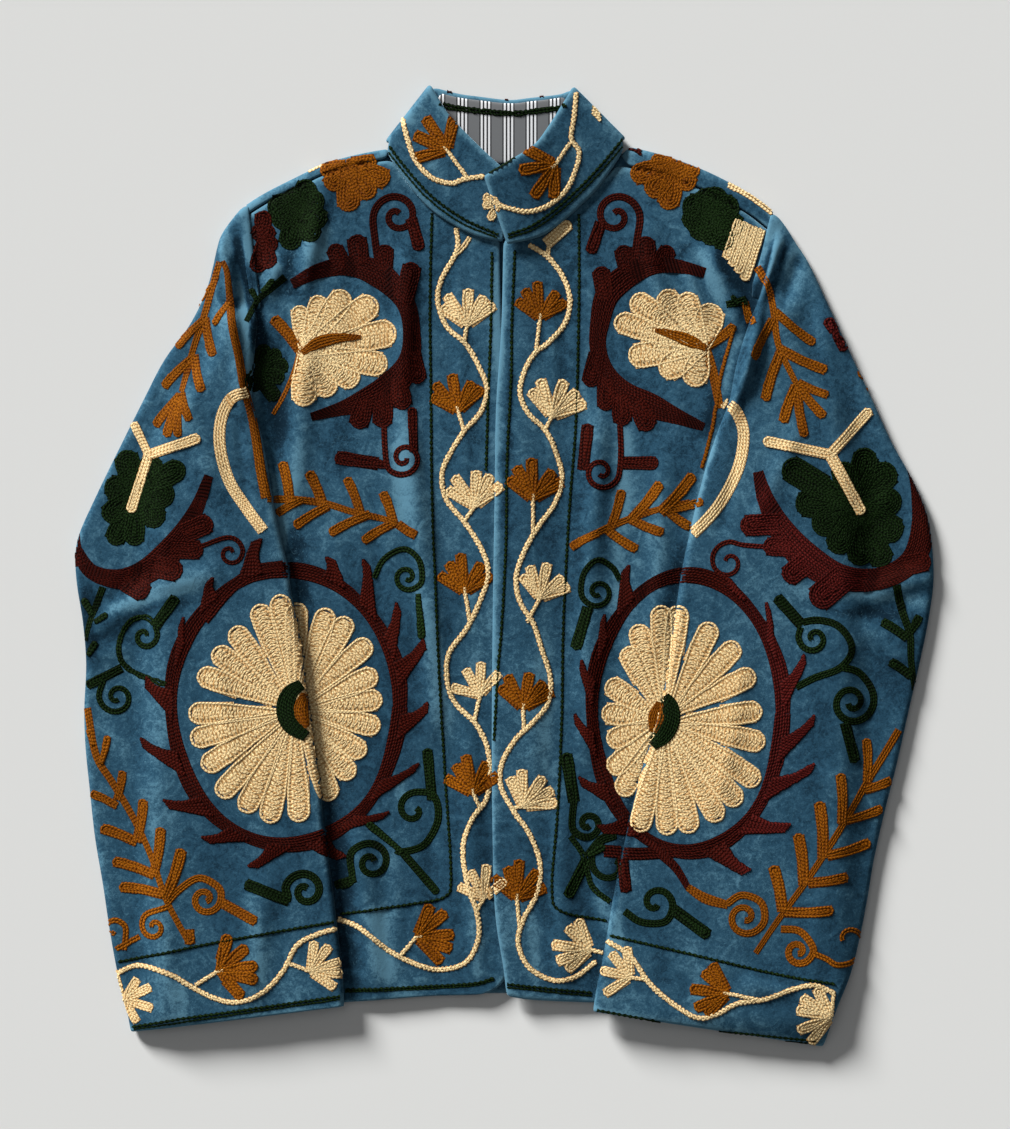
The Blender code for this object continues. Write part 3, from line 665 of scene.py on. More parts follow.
def makeBack(columnCount=44):
    width, height, reachSize = 440.0, clothSizes["backHeight"], clothSizes["foldReach"]
    edge = [(d / width, a) for d, a in rollColumns()]
    inner = [0.02 + 0.96 * (k / columnCount) for k in range(columnCount + 1)]
    inner = sorted(inner + [0.255, 0.262, 0.27, 0.73, 0.738, 0.7])
    columns = [*edge, *((u, 90) for u in inner), *((1 - u, a) for u, a in edge[::-1])]
    turn = math.pi * reachSize * 0.62
    steps = [k / 46 * 0.95 for k in range(46)] + [0.95, 0.957, 0.9625, 0.9665, 0.9695, 0.972, 0.9745, 0.977,
                                                 0.98, 0.983, 0.986, 0.99, 0.995, 1.0]
    rows = []
    for share in steps:
        row = []
        for u, angle in columns:
            name = "right" if u < 0.5 else "left"
            neckX = shoulderLine[name][-1][0]
            topX = backTop(u)[0]
            wrapped = smoothstep(1, 5, (neckX - topX) if name == "right" else (topX - neckX))
            end = height - 0.3 + wrapped * (turn - reachSize + seamWrap[name] - reachSize + 0.3)
            far = share * end
            start = height - reachSize
            if far <= start:
                along, tilt = far, -90.0
            elif far <= start + turn:
                tilt = -90 + 180 * (far - start) / turn
                along = start + reachSize * math.cos(math.radians(tilt))
            else:
                along, tilt = start - (far - start - turn), 90.0
            if wrapped == 0:
                along, tilt = far, -90.0
            if u in (0, 1):
                level = (sideCurve["right"] if u == 0 else sideCurve["left"])(along / height)[1]
                inset = edge[1][0] * seamShare(name, level) * (tilt < 0)
                x, y = backPlace(inset if u == 0 else 1 - inset, along)
            else:
                x, y = backPlace(u, along)
            under = clothSizes["cloth"] / 2
            over = frontHeight(name, x, y)
            z = (under + over) / 2 + (over - under) / 2 * math.sin(math.radians(tilt))
            if tilt < 0 and angle < 90:
                middle = (over + under) / 2 - clothSizes["seam"] / 2
                z = rolled(z, middle, angle, seamShare(name, y))
            row.append((x, y, z))
        rows.append(row)
    return makeCloth("backPanel", rows, clothSizes["cloth"], velvet)


def sleeveRing(name, outer, inner, outerIn, innerIn, hollow, atArmhole, count=30):
    sign = -1 if name == "right" else 1
    start = (outer[0] + outerIn[0], outer[1] + outerIn[1])
    end = (inner[0] + innerIn[0], inner[1] + innerIn[1])
    flats = [k / (count - 1) for k in range(count)]
    turnAngles = [-72, -54, -36, -18, 0, 18, 36, 54, 72]
    cloth = clothSizes["cloth"]

    def heights(x, y):
        free = cloth / 2 + underSleeve(name, x, y)
        soft = foldHeight(sleeveFolds[name], x, y) + 0.6 + rumple(x, y, 5 if name == "left" else 7)
        flatHigh = cloth / 2 + cloth + hollow + 1.5
        return (free + (cloth / 2 - free) * atArmhole,
                (free + cloth + hollow + soft) * (1 - atArmhole) + flatHigh * atArmhole)

    def overSeam(y):
        low = (start[1] - y) / max(1.0, start[1] - end[1])
        return -1.5 - 7.0 * max(0.0, min(1.0, low)) ** 2

    def placed(x, y):
        return (x + (sideX(name, y) + sign * overSeam(y) - x) * (atArmhole == 1), y)

    def turned(rim, across, angle):
        inset = 1 - math.cos(math.radians(angle))
        x, y = rim[0] + across[0] * inset, rim[1] + across[1] * inset
        low, high = heights(x, y)
        x, y = placed(x, y)
        return (x, y, (low + high) / 2 + (high - low) / 2 * math.sin(math.radians(angle)))

    level = [mix(start, end, f) for f in flats]
    ring = [(*placed(*p), heights(*p)[1]) for p in level]
    ring += [turned(inner, innerIn, a) for a in turnAngles[::-1]]
    ring += [(*placed(*p), heights(*p)[0]) for p in level[::-1]]
    ring += [turned(outer, outerIn, a) for a in turnAngles]
    return ring


def makeSleeve(name, stepsPerSection=4):
    sign = -1 if name == "right" else 1
    foot = underarm[name] + 16.0
    top = sideLine[name][-1]
    sections = sleeveSections[name]
    outer = [(top[0] + sign * clothSizes["armhole"], top[1] - 1.0)] + [(a, b) for a, b, _, _ in sections]
    inner = [(sideX(name, foot) + sign * clothSizes["armhole"], foot)] + [(c, d) for _, _, c, d in sections]
    ts = [k / stepsPerSection for k in range((len(outer) - 1) * stepsPerSection + 1)]
    outerLine, innerLine = [splineAt(outer, t) for t in ts], [splineAt(inner, t) for t in ts]

    def hairpin(edges, i, toward):
        before, after = edges[max(0, i - 2)], edges[min(len(edges) - 1, i + 2)]
        runX, runY = after[0] - before[0], after[1] - before[1]
        alongX, alongY = toward[0] - edges[i][0], toward[1] - edges[i][1]
        span = math.hypot(alongX, alongY)
        aslant = abs(runX * alongY - runY * alongX) / (span * math.hypot(runX, runY))
        reach = clothSizes["foldReach"] / max(0.3, aslant)
        return (alongX / span * reach, alongY / span * reach)

    rings = []
    for i, t in enumerate(ts):
        a, b = outerLine[i], innerLine[i]
        rings.append(sleeveRing(name, a, b, hairpin(outerLine, i, b), hairpin(innerLine, i, a),
                                clothSizes["sleeveHollow"], max(0.0, 1 - t)))
    return makeCloth("sleevePanel_" + name, rings if name == "right" else [r[::-1] for r in rings],
                     clothSizes["cloth"], velvet, closed=True)


def collarLift(name, x):
    lift = clothSizes["collarLap"] * (1 - smoothstep(12, 50, x)) if name == "left" else 0.0
    return (1.5 * clothSizes["cloth"] + clothSizes["hollow"] + clothSizes["cloth"] / 2 + clothSizes["lap"]
            + clothSizes["collarCloth"] / 2 + lift)


def collarSections():
    low, rise, backRise, turnSize = (clothSizes["collarCloth"] / 2, clothSizes["collarRise"],
                                     clothSizes["collarBackRise"], clothSizes["collarTurn"])
    pairs = []
    shares = [0.05 + 0.95 * k / 34 for k in range(35)]

    def front(name, wanted):
        seam, top = curve(collarSeam[name]), curve(collarTop[name])
        for s in wanted:
            (sx, sy), (tx, ty) = seam(s), top(s)
            yield (sx, sy, collarLift(name, sx)), (tx, ty, collarLift(name, tx) + rise)

    def sideTurn(name, angles):
        sign = -1 if name == "right" else 1
        seam, top = collarSeam[name][0], collarTop[name][0]
        for angle in angles:
            out = turnSize * (math.cos(math.radians(angle)) - 1)
            up = (1 + math.sin(math.radians(angle))) / 2
            seamHigh, topHigh = collarLift(name, seam[0]), collarLift(name, top[0]) + rise
            yield ((seam[0] + sign * out * 0.75, seam[1] + out * 0.25, low + (seamHigh - low) * up),
                   (top[0] + sign * out * 0.6, top[1] + out * 0.6,
                    low + backRise + (topHigh - low - backRise) * up))

    pairs += list(front("right", shares[::-1]))
    pairs += list(sideTurn("right", [70, 52, 35, 17, 0, -17, -35, -52, -70]))
    seam, top = curve(collarBackSeam), curve(collarBackTop)
    for k in range(31):
        s = 0.045 + 0.91 * k / 30
        (sx, sy), (tx, ty) = seam(s), top(s)
        pairs.append(((sx, sy, low), (tx, ty, low + backRise)))
    pairs += list(sideTurn("left", [-70, -52, -35, -17, 0, 17, 35, 52, 70]))
    pairs += list(front("left", shares))
    return pairs


def makeCollar(count=14):
    rows = []
    for seam, top in collarSections():
        rows.append([mix(seam, top, w / (count - 1)) for w in range(count)])
    return makeCloth("collarBand", rows, clothSizes["collarCloth"], velvet)


def makeCollarLining(count=12):
    rise = clothSizes["collarCloth"] + clothSizes["seam"] + clothSizes["lining"] / 2
    seam, top = curve(collarBackSeam), curve(collarBackTop)
    rows = []
    for k in range(31):
        s = 0.09 + 0.82 * k / 30
        (sx, sy), (tx, ty) = seam(s), top(s)
        a, b = (sx, sy, rise), (tx, ty, rise + clothSizes["collarBackRise"])
        rows.append([mix(a, b, 0.02 + 0.92 * w / (count - 1)) for w in range(count)])
    return makeCloth("collarLining", rows, clothSizes["lining"], cotton)


panels = {
    "back": makeBack(), "front_right": makeFront("right"), "front_left": makeFront("left"),
    "sleeve_right": makeSleeve("right"), "sleeve_left": makeSleeve("left"),
    "collar": makeCollar(), "collar_lining": makeCollarLining(),
}
for name, obj in panels.items():
    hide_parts(name)
print("cloth made", {k: len(o.data.polygons) for k, o in panels.items()})


# Embroidery: rows of chain stitch laid out on a page over the jacket, and sewn onto the cloth that lies there
sewn = {"corners": [], "faces": [], "panel": [], "beyond": False}
for name, obj in panels.items():
    start = len(sewn["corners"])
    sewn["corners"] += [v.co.copy() for v in obj.data.vertices]
    for f in obj.data.polygons:
        sewn["faces"].append([start + k for k in f.vertices])
        sewn["panel"].append(name)
surface = BVHTree.FromPolygons(sewn["corners"], sewn["faces"])
stitchSizes = {
    "pitch": 2.7, "step": 1.9, "crown": 1.1, "sink": 0.05, "pinch": 0.86, "wander": 1.5, "groundCrown": 0.3,
    "crownToWidth": 0.62, "narrowest": 0.25,
    "bridge": 2.5, "drop": 2.2,  # a row bridges a dip up to the first, and breaks at a drop over the second
}
rowsOf = {}
counter = {"rows": 0}


def underNeedle(x, y):
    place, normal, index, _ = surface.ray_cast(
        Vector(((x - pageX) * pageUnit * mm, ((pageY - y) * pageUnit + middleY) * mm, 0.2)), Vector((0, 0, -1)))
    return (place, normal, sewn["panel"][index]) if place else None


def even(points, step):
    far = [0.0]
    for a, b in zip(points, points[1:]):
        far.append(far[-1] + math.dist(a, b))
    count, line, i = max(2, round(far[-1] / step)), [], 0
    for k in range(count + 1):
        want = far[-1] * k / count
        while i < len(far) - 2 and far[i + 1] < want:
            i += 1
        line.append(mix(points[i], points[i + 1], (want - far[i]) / max(1e-9, far[i + 1] - far[i])))
    return line


def heading(line, i):
    before, after = line[max(0, i - 1)], line[min(len(line) - 1, i + 1)]
    dx, dy = after[0] - before[0], after[1] - before[1]
    size = math.hypot(dx, dy) or 1.0
    return dx / size, dy / size


def sewRow(points, half, thread, lift=0.0, wander=0.0, pinch=None, step=None, ground=False, beyond=False):
    # half is the row's half-width, or a function of the share of the way along; a ground is the flat fill below
    counter["rows"] += 1
    number = counter["rows"]
    line = even(points, step or stitchSizes["step"])
    pinch = pinch or stitchSizes["pinch"]
    if wander:
        line = [(x + wander * noise.noise(Vector((x / 4.2, y / 4.2, number * 0.7))),
                 y + wander * noise.noise(Vector((x / 4.2, y / 4.2, number * 0.7 + 40)))) for x, y in line]
    hits = [underNeedle(x, y) for x, y in line]
    run, lastPanel, far = None, None, 0.0
    for i, (x, y) in enumerate(line):
        dx, dy = heading(line, i)
        wide = half(i / (len(line) - 1)) if callable(half) else half
        far += math.dist(line[i - 1], line[i]) * pageUnit if i else 0.0
        hit = hits[i]
        if hit is None or wide < stitchSizes["narrowest"] or (
                hit[2] in ("collar_lining", "back") and not (beyond or sewn["beyond"])):
            run = None
            continue
        place, normal, panel = hit
        ends = hits[max(0, i - 2)], hits[min(len(line) - 1, i + 2)]
        if all(ends) and abs(ends[0][0].z - ends[1][0].z) < stitchSizes["bridge"] * mm:
            place = Vector((place.x, place.y, max(place.z, (ends[0][0].z + ends[1][0].z) / 2)))
        if run is not None and abs(place.z - run["z"]) > stitchSizes["drop"] * mm:
            run = None
        across = Vector((dy, dx, 0))
        across = (across - normal * across.dot(normal)).normalized()
        crown = stitchSizes["groundCrown"] if ground else min(
            stitchSizes["crown"], stitchSizes["crownToWidth"] * wide * pageUnit)
        width = wide * (1.0 if ground else pinch if (i + number) % 2 else 1.0) * pageUnit * mm
        # a row that goes on over a seam ends on the piece it leaves and starts anew on the next
        for owner in ([lastPanel, panel] if run is not None and panel != lastPanel else [panel]):
            made = rowsOf.setdefault((owner, thread), {"verts": [], "faces": [], "uvs": []})
            at = len(made["verts"])
            for side, height in ((-1, stitchSizes["sink"]), (0, crown), (1, stitchSizes["sink"])):
                made["verts"].append(place + across * (side * width) + normal * ((height + lift) * mm))
                # a ground row sits near a row's edge across, so it takes the painted groove shade in the gaps between
                # rows
                made["uvs"].append((far, 2 * number + (0.88 if ground else 0.5 + side * 0.5)))
            if run is not None and owner == lastPanel:
                b = run["at"]
                made["faces"] += [(b, b + 1, at + 1, at), (b + 1, b + 2, at + 2, at + 1)]
        run = {"at": at, "z": place.z}
        lastPanel = panel


def band(spine, width, thread, lift=0.0, wander=None):
    # rows side by side along a line, width(share) wide
    path = curve(spine, 8)
    count = max(4, int(path.length / 3))
    shares = [k / count for k in range(count + 1)]
    line = [path(s) for s in shares]
    widths = [width(s) if callable(width) else width for s in shares]
    rows = max(1, round(max(widths) / stitchSizes["pitch"]))
    for r in range(rows):
        offset = (r + 0.5) / rows - 0.5
        points = []
        for i, (x, y) in enumerate(line):
            dx, dy = heading(line, i)
            points.append((x - dy * offset * widths[i], y + dx * offset * widths[i]))
        if rows > 2:
            sewRow(points, lambda s: widths[round(s * count)] / rows * 0.62, thread, lift, 0.0, 1.0, 4.0, True)
        sewRow(points, lambda s: widths[round(s * count)] / rows * (0.5 if rows > 2 else 0.56), thread, lift,
               stitchSizes["wander"] * 0.6 if wander is None else wander)


def twine(spine, swing, half, thread, lift=0.0, turn=9.0):
    # two strands wound round each other
    path = curve(spine, 8)
    count = max(6, int(path.length / 1.5))
    line = [path(k / count) for k in range(count + 1)]
    for strand in (0, 1):
        points = []
        for i, (x, y) in enumerate(line):
            dx, dy = heading(line, i)
            offset = swing * math.cos(2 * math.pi * i * path.length / count / turn + math.pi * strand)
            points.append((x - dy * offset, y + dx * offset))
        sewRow(points, half, thread, lift + 0.12 * strand, 0.5, 0.8, 1.7)


def waist(*widths):
    # a band's width from a few values, evenly spaced along it
    return lambda share: splineAt([(w, 0) for w in widths], share * (len(widths) - 1))[0]


def petal(x0, y0, x1, y1, width, thread, lift=0.0, base=0.45, bow=0.0, winding=False):
    # rows nest inwards from the outline: up one side, round the tip and down the other
    length = max(1.0, math.hypot(x1 - x0, y1 - y0))
    dx, dy = (x1 - x0) / length, (y1 - y0) / length
    neck = max(0.0, length - width / 2)
    rows = max(1, round(width / 2 / stitchSizes["pitch"]))

    def place(along, across):
        t = along / length
        across += 4 * bow * length * t * (1 - t)
        return (x0 + dx * along - dy * across, y0 + dy * along + dx * across)

    def halfAt(along):
        return width / 2 * (base + (1 - base) * min(1.0, along / max(1.0, neck) / 0.8))

    strips = max(1, round(width / 5)) if width > 8 else 0
    for k in range(strips):
        offset = ((k + 0.5) / strips - 0.5) * (width - 1.2)
        ends = [a for a in (length * j / 24 for j in range(25))
                if abs(offset) < min(halfAt(a), math.sqrt(max(0.0, (width / 2) ** 2 - max(0.0, a - neck) ** 2))) - 0.6]
        if len(ends) > 2:
            sewRow([place(a, offset) for a in (ends[0], (ends[0] + ends[-1]) / 2, ends[-1])],
                   (width - 1.2) / strips * 0.58, thread, lift, 0.0, 1.0, 3.0, True)
    for r in range(1 if winding else rows):
        inset = (r + 0.5) * width / 2 / rows
        side = [(neck * k / 10, halfAt(neck * k / 10) - inset) for k in range(11)]
        side = [(a, h) for a, h in side if h > 0.3]
        radius = width / 2 - inset
        points = [place(a, h) for a, h in side]
        points += [place(neck + radius * math.cos(a), radius * math.sin(a))
                   for a in (math.radians(90 - 180 * k / 8) for k in range(1, 8))]
        points += [place(a, -h) for a, h in side[::-1]]
        sewRow(points, width / 2 / rows * (0.5 if width > 8 else 0.56), thread, lift + (0.1 if r == 0 else 0.0),
               stitchSizes["wander"] * (0.4 if r == 0 else 1.0))
    if not winding:
        sewRow([place(0, 0), place(neck * 0.5, 0), place(neck, 0)], 1.4, thread, lift - 0.1, stitchSizes["wander"])
        return
    # inside the outline one row winds from side to side up to the tip
    points, crossing, along = [], 0, 0.0
    top = length - width / 2 / rows * 1.6
    while along < top:
        room = halfAt(along) - 1.4 * width / 2 / rows
        if along > neck:
            room = min(room, math.sqrt(max(0.0, (top - neck) ** 2 - (along - neck) ** 2)))
        if room > 0.8:
            turn = 1 if crossing % 2 else -1
            for share in (-0.95, -0.5, 0.0, 0.5, 0.95):
                arch = min(3.5, room * 0.5) * (1 - share * share)
                points.append(place(along + arch - 1.5 + 0.5 * share * stitchSizes["pitch"] * 0.8, turn * share * room))
        else:
            points.append(place(along, 0))
        crossing += 1
        along += stitchSizes["pitch"] * 0.92
    if len(points) > 1:
        sewRow(points, 1.25, thread, lift, stitchSizes["wander"])


def cluster(x, y, tips, width, thread, lift=0.0, base=0.4, winding=False):
    for tip in tips:
        petal(x, y, tip[0], tip[1], tip[2] if len(tip) > 2 else width, thread, lift, base, 0.0, winding)


def onPage(x, y, angle, distance):
    return (x + math.cos(math.radians(angle)) * distance, y - math.sin(math.radians(angle)) * distance)


def bud(x, y, angle, size, thread, lobes=5, spread=58):
    # a small open flower: a hand of round lobes from the end of its stem
    for k in range(lobes):
        share = 2 * k / (lobes - 1) - 1
        wobble = 5 * math.sin(x * 1.7 + y * 0.9 + 2.1 * k)
        tip = onPage(x, y, angle - spread * share + wobble, size * (1.0 - 0.12 * abs(share) + 0.01 * wobble))
        petal(x, y, *tip, size * 0.31, thread, 0.1, 0.5)


def curl(lead, x, y, turns, width, thread, lift=0.05):
    # a line that winds into a spiral; more than 0 turns go anticlockwise
    fromX, fromY = lead[-1]
    radius, start = math.hypot(fromX - x, fromY - y), math.degrees(math.atan2(y - fromY, fromX - x))
    steps = int(abs(turns) * 10)
    points = [onPage(x, y, start + 360 * turns * k / steps, radius * (1 - 0.84 * (k / steps) ** 0.9))
              for k in range(1, steps + 1)]
    band([*lead, *points], waist(width, width, width, width * 0.9, width * 0.85), thread, lift, 0.2)


def sprig(stem, branches, thread, width=6.5):
    band(stem, waist(width * 1.15, width, width * 0.85), thread, 0.0, 0.3)
    for x0, y0, x1, y1, wide in branches:
        petal(x0, y0, x1, y1, wide, thread, 0.12, 0.72, 0.03)


def thorn(foot, tip, along, lean):
    # rows that leave the ring on a curve and meet at the tip
    side = 1 if (tip[0] - foot[0]) * along[0] + (tip[1] - foot[1]) * along[1] > 0 else -1
    for k, spread in enumerate((-16, -11.5, -7, -2.5, 2, 5.5)):
        start = (foot[0] + along[0] * side * spread, foot[1] + along[1] * side * spread)
        ease = (foot[0] * 0.45 + tip[0] * 0.55 + along[0] * side * (spread * 0.5 - lean),
                foot[1] * 0.45 + tip[1] * 0.55 + along[1] * side * (spread * 0.5 - lean))
        end = (tip[0] + along[0] * side * (2 + spread * 0.42), tip[1] + along[1] * side * (2 + spread * 0.42))
        sewRow(curve([start, ease, end], 8).line, lambda s: 2.8 - 1.0 * s, "maroon", 0.05 + 0.05 * k, 0.8)


# Vines: the line of each stem, then its flowers where the side stem ends
vines = {
    "rightFront": [(456, 228), (457, 250), (441, 280), (438, 303), (447, 327), (465, 343), (479, 367), (487, 390),
                   (480, 413), (465, 430), (452, 450), (442, 473), (446, 499), (465, 523), (482, 550), (488, 572),
                   (482, 596), (467, 628), (449, 653), (447, 680), (455, 703), (475, 723), (487, 747), (490, 773),
                   (486, 800), (472, 819), (463, 847), (467, 883), (477, 913), (478, 940), (465, 963), (438, 970),
                   (413, 963), (388, 950), (360, 928), (338, 919)],
    "leftFront": [(529, 245), (548, 257), (563, 277), (570, 300), (565, 323), (548, 343), (535, 353), (525, 370),
                  (520, 393), (528, 413), (545, 430), (555, 450), (562, 477), (555, 503), (538, 527), (524, 552),
                  (516, 578), (520, 602), (533, 623), (541, 647), (550, 677), (548, 703), (532, 723), (515, 740),
                  (502, 763), (501, 787), (515, 813), (529, 833), (540, 863), (537, 893), (523, 920), (518, 943),
                  (529, 967), (552, 980), (575, 977), (596, 962)],
    "rightCuff": [(117, 973), (140, 965), (171, 973), (190, 984), (213, 996), (237, 1001), (262, 992), (283, 971),
                  (298, 944), (321, 932), (338, 928)],
    "leftCuff": [(607, 940), (630, 955), (646, 978), (664, 996), (695, 1016), (716, 1013), (737, 1002), (764, 998),
                 (791, 988), (814, 984), (833, 992)],
    "collarRight": [(402, 117), (407, 137), (415, 160), (430, 177), (450, 184), (464, 180), (484, 177)],
    "collarLeft": [(576, 94), (574, 117), (571, 140), (579, 152), (575, 172), (565, 192), (547, 207), (527, 213),
                   (510, 210), (498, 206)],
}
for points in vines.values():
    twine(points, 1.45, 1.85, "cream", 0.1)

flowersOnVines = [
    # where the side stem leaves the vine, the flower's foot, its angle and size, thread, how many lobes
    (464, 343, 467, 325, 90, 38, "cream", 5), (464, 431, 458, 411, 98, 38, "ochre", 5),
    (463, 523, 475, 506, 92, 38, "cream", 5), (470, 622, 465, 592, 92, 38, "ochre", 5),
    (474, 722, 480, 695, 105, 34, "cream", 4), (481, 810, 473, 793, 96, 38, "ochre", 5),
    (476, 912, 484, 898, 100, 34, "cream", 4), (400, 956, 417, 937, 8, 40, "ochre", 5),
    (536, 352, 540, 318, 90, 36, "ochre", 5), (545, 430, 552, 416, 74, 40, "cream", 5),
    (533, 533, 533, 499, 88, 40, "ochre", 5), (527, 622, 540, 598, 76, 36, "cream", 5),
    (524, 732, 523, 708, 82, 38, "ochre", 5), (513, 808, 523, 806, 58, 38, "cream", 5),
    (520, 932, 517, 898, 82, 38, "ochre", 5), (603, 953, 590, 950, 168, 38, "cream", 5),
    (196, 984, 219, 970, 12, 42, "ochre", 5), (289, 962, 311, 970, 22, 34, "cream", 5),
    (118, 974, 124, 1000, 4, 32, "cream", 4), (760, 999, 727, 992, 172, 38, "ochre", 5),
    (648, 979, 630, 976, 150, 34, "cream", 4), (833, 990, 830, 1016, 172, 38, "cream", 5),
    (467, 178, 447, 151, 138, 40, "ochre", 4), (570, 144, 555, 166, 212, 40, "ochre", 4),
]
for x0, y0, x, y, angle, size, thread, lobes in flowersOnVines:
    twine([(x0, y0), mix((x0, y0), (x, y), 0.55), (x, y), onPage(x, y, angle, size * 0.12)],
          1.1, 1.6, "cream", 0.15, 8.0)
    bud(x, y, angle, size, thread, lobes)
band([(470, 237), (464, 246), (457, 253)], 5, "cream", 0.1)
petal(546, 244, 571, 222, 13, "cream", 0.2, 0.9)
band([(548, 257), (548, 250), (551, 240)], 4.5, "cream", 0.1)
cluster(499, 205, [(483, 196), (482, 206), (489, 221)], 9, "cream", 0.1)

# Lines of green stitches
for points in (
    [(432, 210), (430, 300), (431, 400), (432, 500), (436, 600), (440, 690), (446, 790), (451, 875), (445, 897),
     (413, 904), (370, 910), (340, 914)],
    [(492, 252), (491, 320), (488, 400), (486, 470)],
    [(515, 250), (512, 320), (511, 381), (507, 461), (506, 541), (502, 622), (498, 670), (494, 740)],
    [(579, 214), (579, 300), (576, 420), (570, 500), (566, 568), (563, 638), (562, 712), (558, 805), (552, 888),
     (561, 911), (607, 921)],
    [(345, 990), (400, 988), (470, 984), (494, 978)], [(507, 984), (560, 990), (592, 993)],
    [(118, 962), (170, 951), (230, 939), (334, 921)], [(607, 934), (699, 955), (776, 973), (834, 983)],
    [(132, 1027), (180, 1018), (236, 1010), (340, 995)], [(597, 1009), (650, 1019), (700, 1028), (816, 1041)],
    [(386, 142), (404, 166), (431, 196), (463, 219), (498, 235)],
    [(508, 236), (535, 225), (568, 199), (598, 169), (622, 140)],
    [(521, 154), (508, 164), (489, 175)],
):
    sewRow(curve(points, 8).line, 2.0, "green", 0.0, 0.3, 0.4, 2.8)
for points in ([(134, 1029), (236, 1013), (340, 998)], [(597, 1012), (700, 1031), (816, 1044)],
               [(384, 146), (402, 170), (429, 200), (461, 223), (497, 238)],
               [(508, 239), (536, 229), (570, 203), (600, 173), (624, 145)],
               [(345, 992), (400, 990), (470, 986), (494, 980)], [(507, 987), (560, 993), (592, 996)]):
    sewRow(curve(points, 8).line, 1.3, "green", 0.0, 0.5, 0.5, 2.6)

toPage = [[(x / pageUnit + pageX, pageY - y / pageUnit) for x, y in line] for line in (collarBackTop, collarBackSeam)]
topEdge, lowEdge = curve(toPage[0]), curve(toPage[1])
for share, thread, half in ((0.0, "maroon", 2.0), (0.2, "green", 2.1), (0.24, "green", 1.9)):
    line = [mix(topEdge(s), lowEdge(s), share) for s in (0.12 + 0.76 * k / 20 for k in range(21))]
    sewRow(line, half, thread, 0.0, 1.2, 0.6, 2.6, False, True)

# The fan flowers of the upper fronts, with the leaves curled round them
fanFlowers = {
    # foot, then tips as x, y, width
    "right": (304, 351, [(299, 305, 19), (321, 295, 20), (347, 291, 25), (377, 300, 28), (397, 331, 29), (388, 366, 26),
                         (359, 383, 26), (332, 396, 27), (304, 407, 26)]),
    "left": (703, 347, [(614, 320, 24), (631, 297, 24), (661, 291, 25), (684, 292, 24), (713, 303, 30), (628, 357, 26),
                        (660, 374, 28), (692, 387, 28), (640, 335, 26)]),
}
for x, y, tips in fanFlowers.values():
    cluster(x, y, tips, 24, "cream", 0.1, 0.5, True)
band([(302, 353), (318, 343), (338, 338), (361, 337)], waist(6, 12, 9, 4), "ochre", 0.7)
band([(706, 348), (690, 341), (674, 335), (655, 330)], waist(6, 12, 9, 4), "ochre", 0.7)
sprig([(300, 350), (294, 372), (284, 395), (273, 414)], [(300, 350, 272, 317, 12), (303, 354, 298, 348, 9)], "ochre", 5)
sprig([(706, 350), (713, 372), (717, 392), (720, 408)], [(706, 348, 735, 325, 10)], "ochre", 9)

curledLeaves = {
    # spine, its widths, then fingers as foot x, y to tip x, y, width
    "right": ([(292, 284), (322, 270), (355, 266), (384, 278), (406, 304), (412, 336), (408, 364), (391, 386),
               (362, 402), (311, 417)], (10, 15, 20, 26, 20, 17, 20, 28, 25, 14, 8),
              [(344, 268, 332, 244, 19), (360, 264, 356, 234, 21), (384, 270, 385, 244, 19), (404, 304, 413, 262, 20),
               (412, 352, 419, 384, 19), (398, 380, 404, 410, 20), (384, 392, 382, 428, 21), (366, 398, 357, 429, 21)]),
    "left": ([(705, 273), (682, 267), (656, 265), (630, 274), (608, 294), (600, 322), (598, 348), (607, 374),
              (626, 394), (656, 408), (704, 427)], (10, 14, 20, 25, 22, 17, 17, 22, 25, 16, 8),
             [(658, 266, 671, 246, 19), (646, 264, 645, 236, 21), (628, 272, 622, 245, 19), (606, 300, 600, 266, 19),
              (598, 352, 589, 387, 19), (606, 378, 606, 411, 19), (620, 394, 623, 426, 20), (636, 400, 650, 431, 21)]),
}
for spine, widths, fingers in curledLeaves.values():
    band(spine, waist(*widths), "maroon")
    for x0, y0, x1, y1, width in fingers:
        petal(x0, y0, x1, y1, width, "maroon", 0.06, 0.75)
scrollEnds = [
    # x, y to x, y, width, lift, share of the width at the start
    (387, 465, 334, 457, 14, 0.05, 0.6), (620, 463, 659, 463, 14, 0.05, 0.8), (411, 218, 420, 251, 13, 0.08, 0.7),
    (601, 222, 590, 254, 13, 0.08, 0.7), (414, 452, 412, 407, 10, 0.05, 0.7), (583, 470, 588, 423, 13, 0.05, 0.7),
]
for x0, y0, x1, y1, width, lift, base in scrollEnds:
    petal(x0, y0, x1, y1, width, "maroon", lift, base)

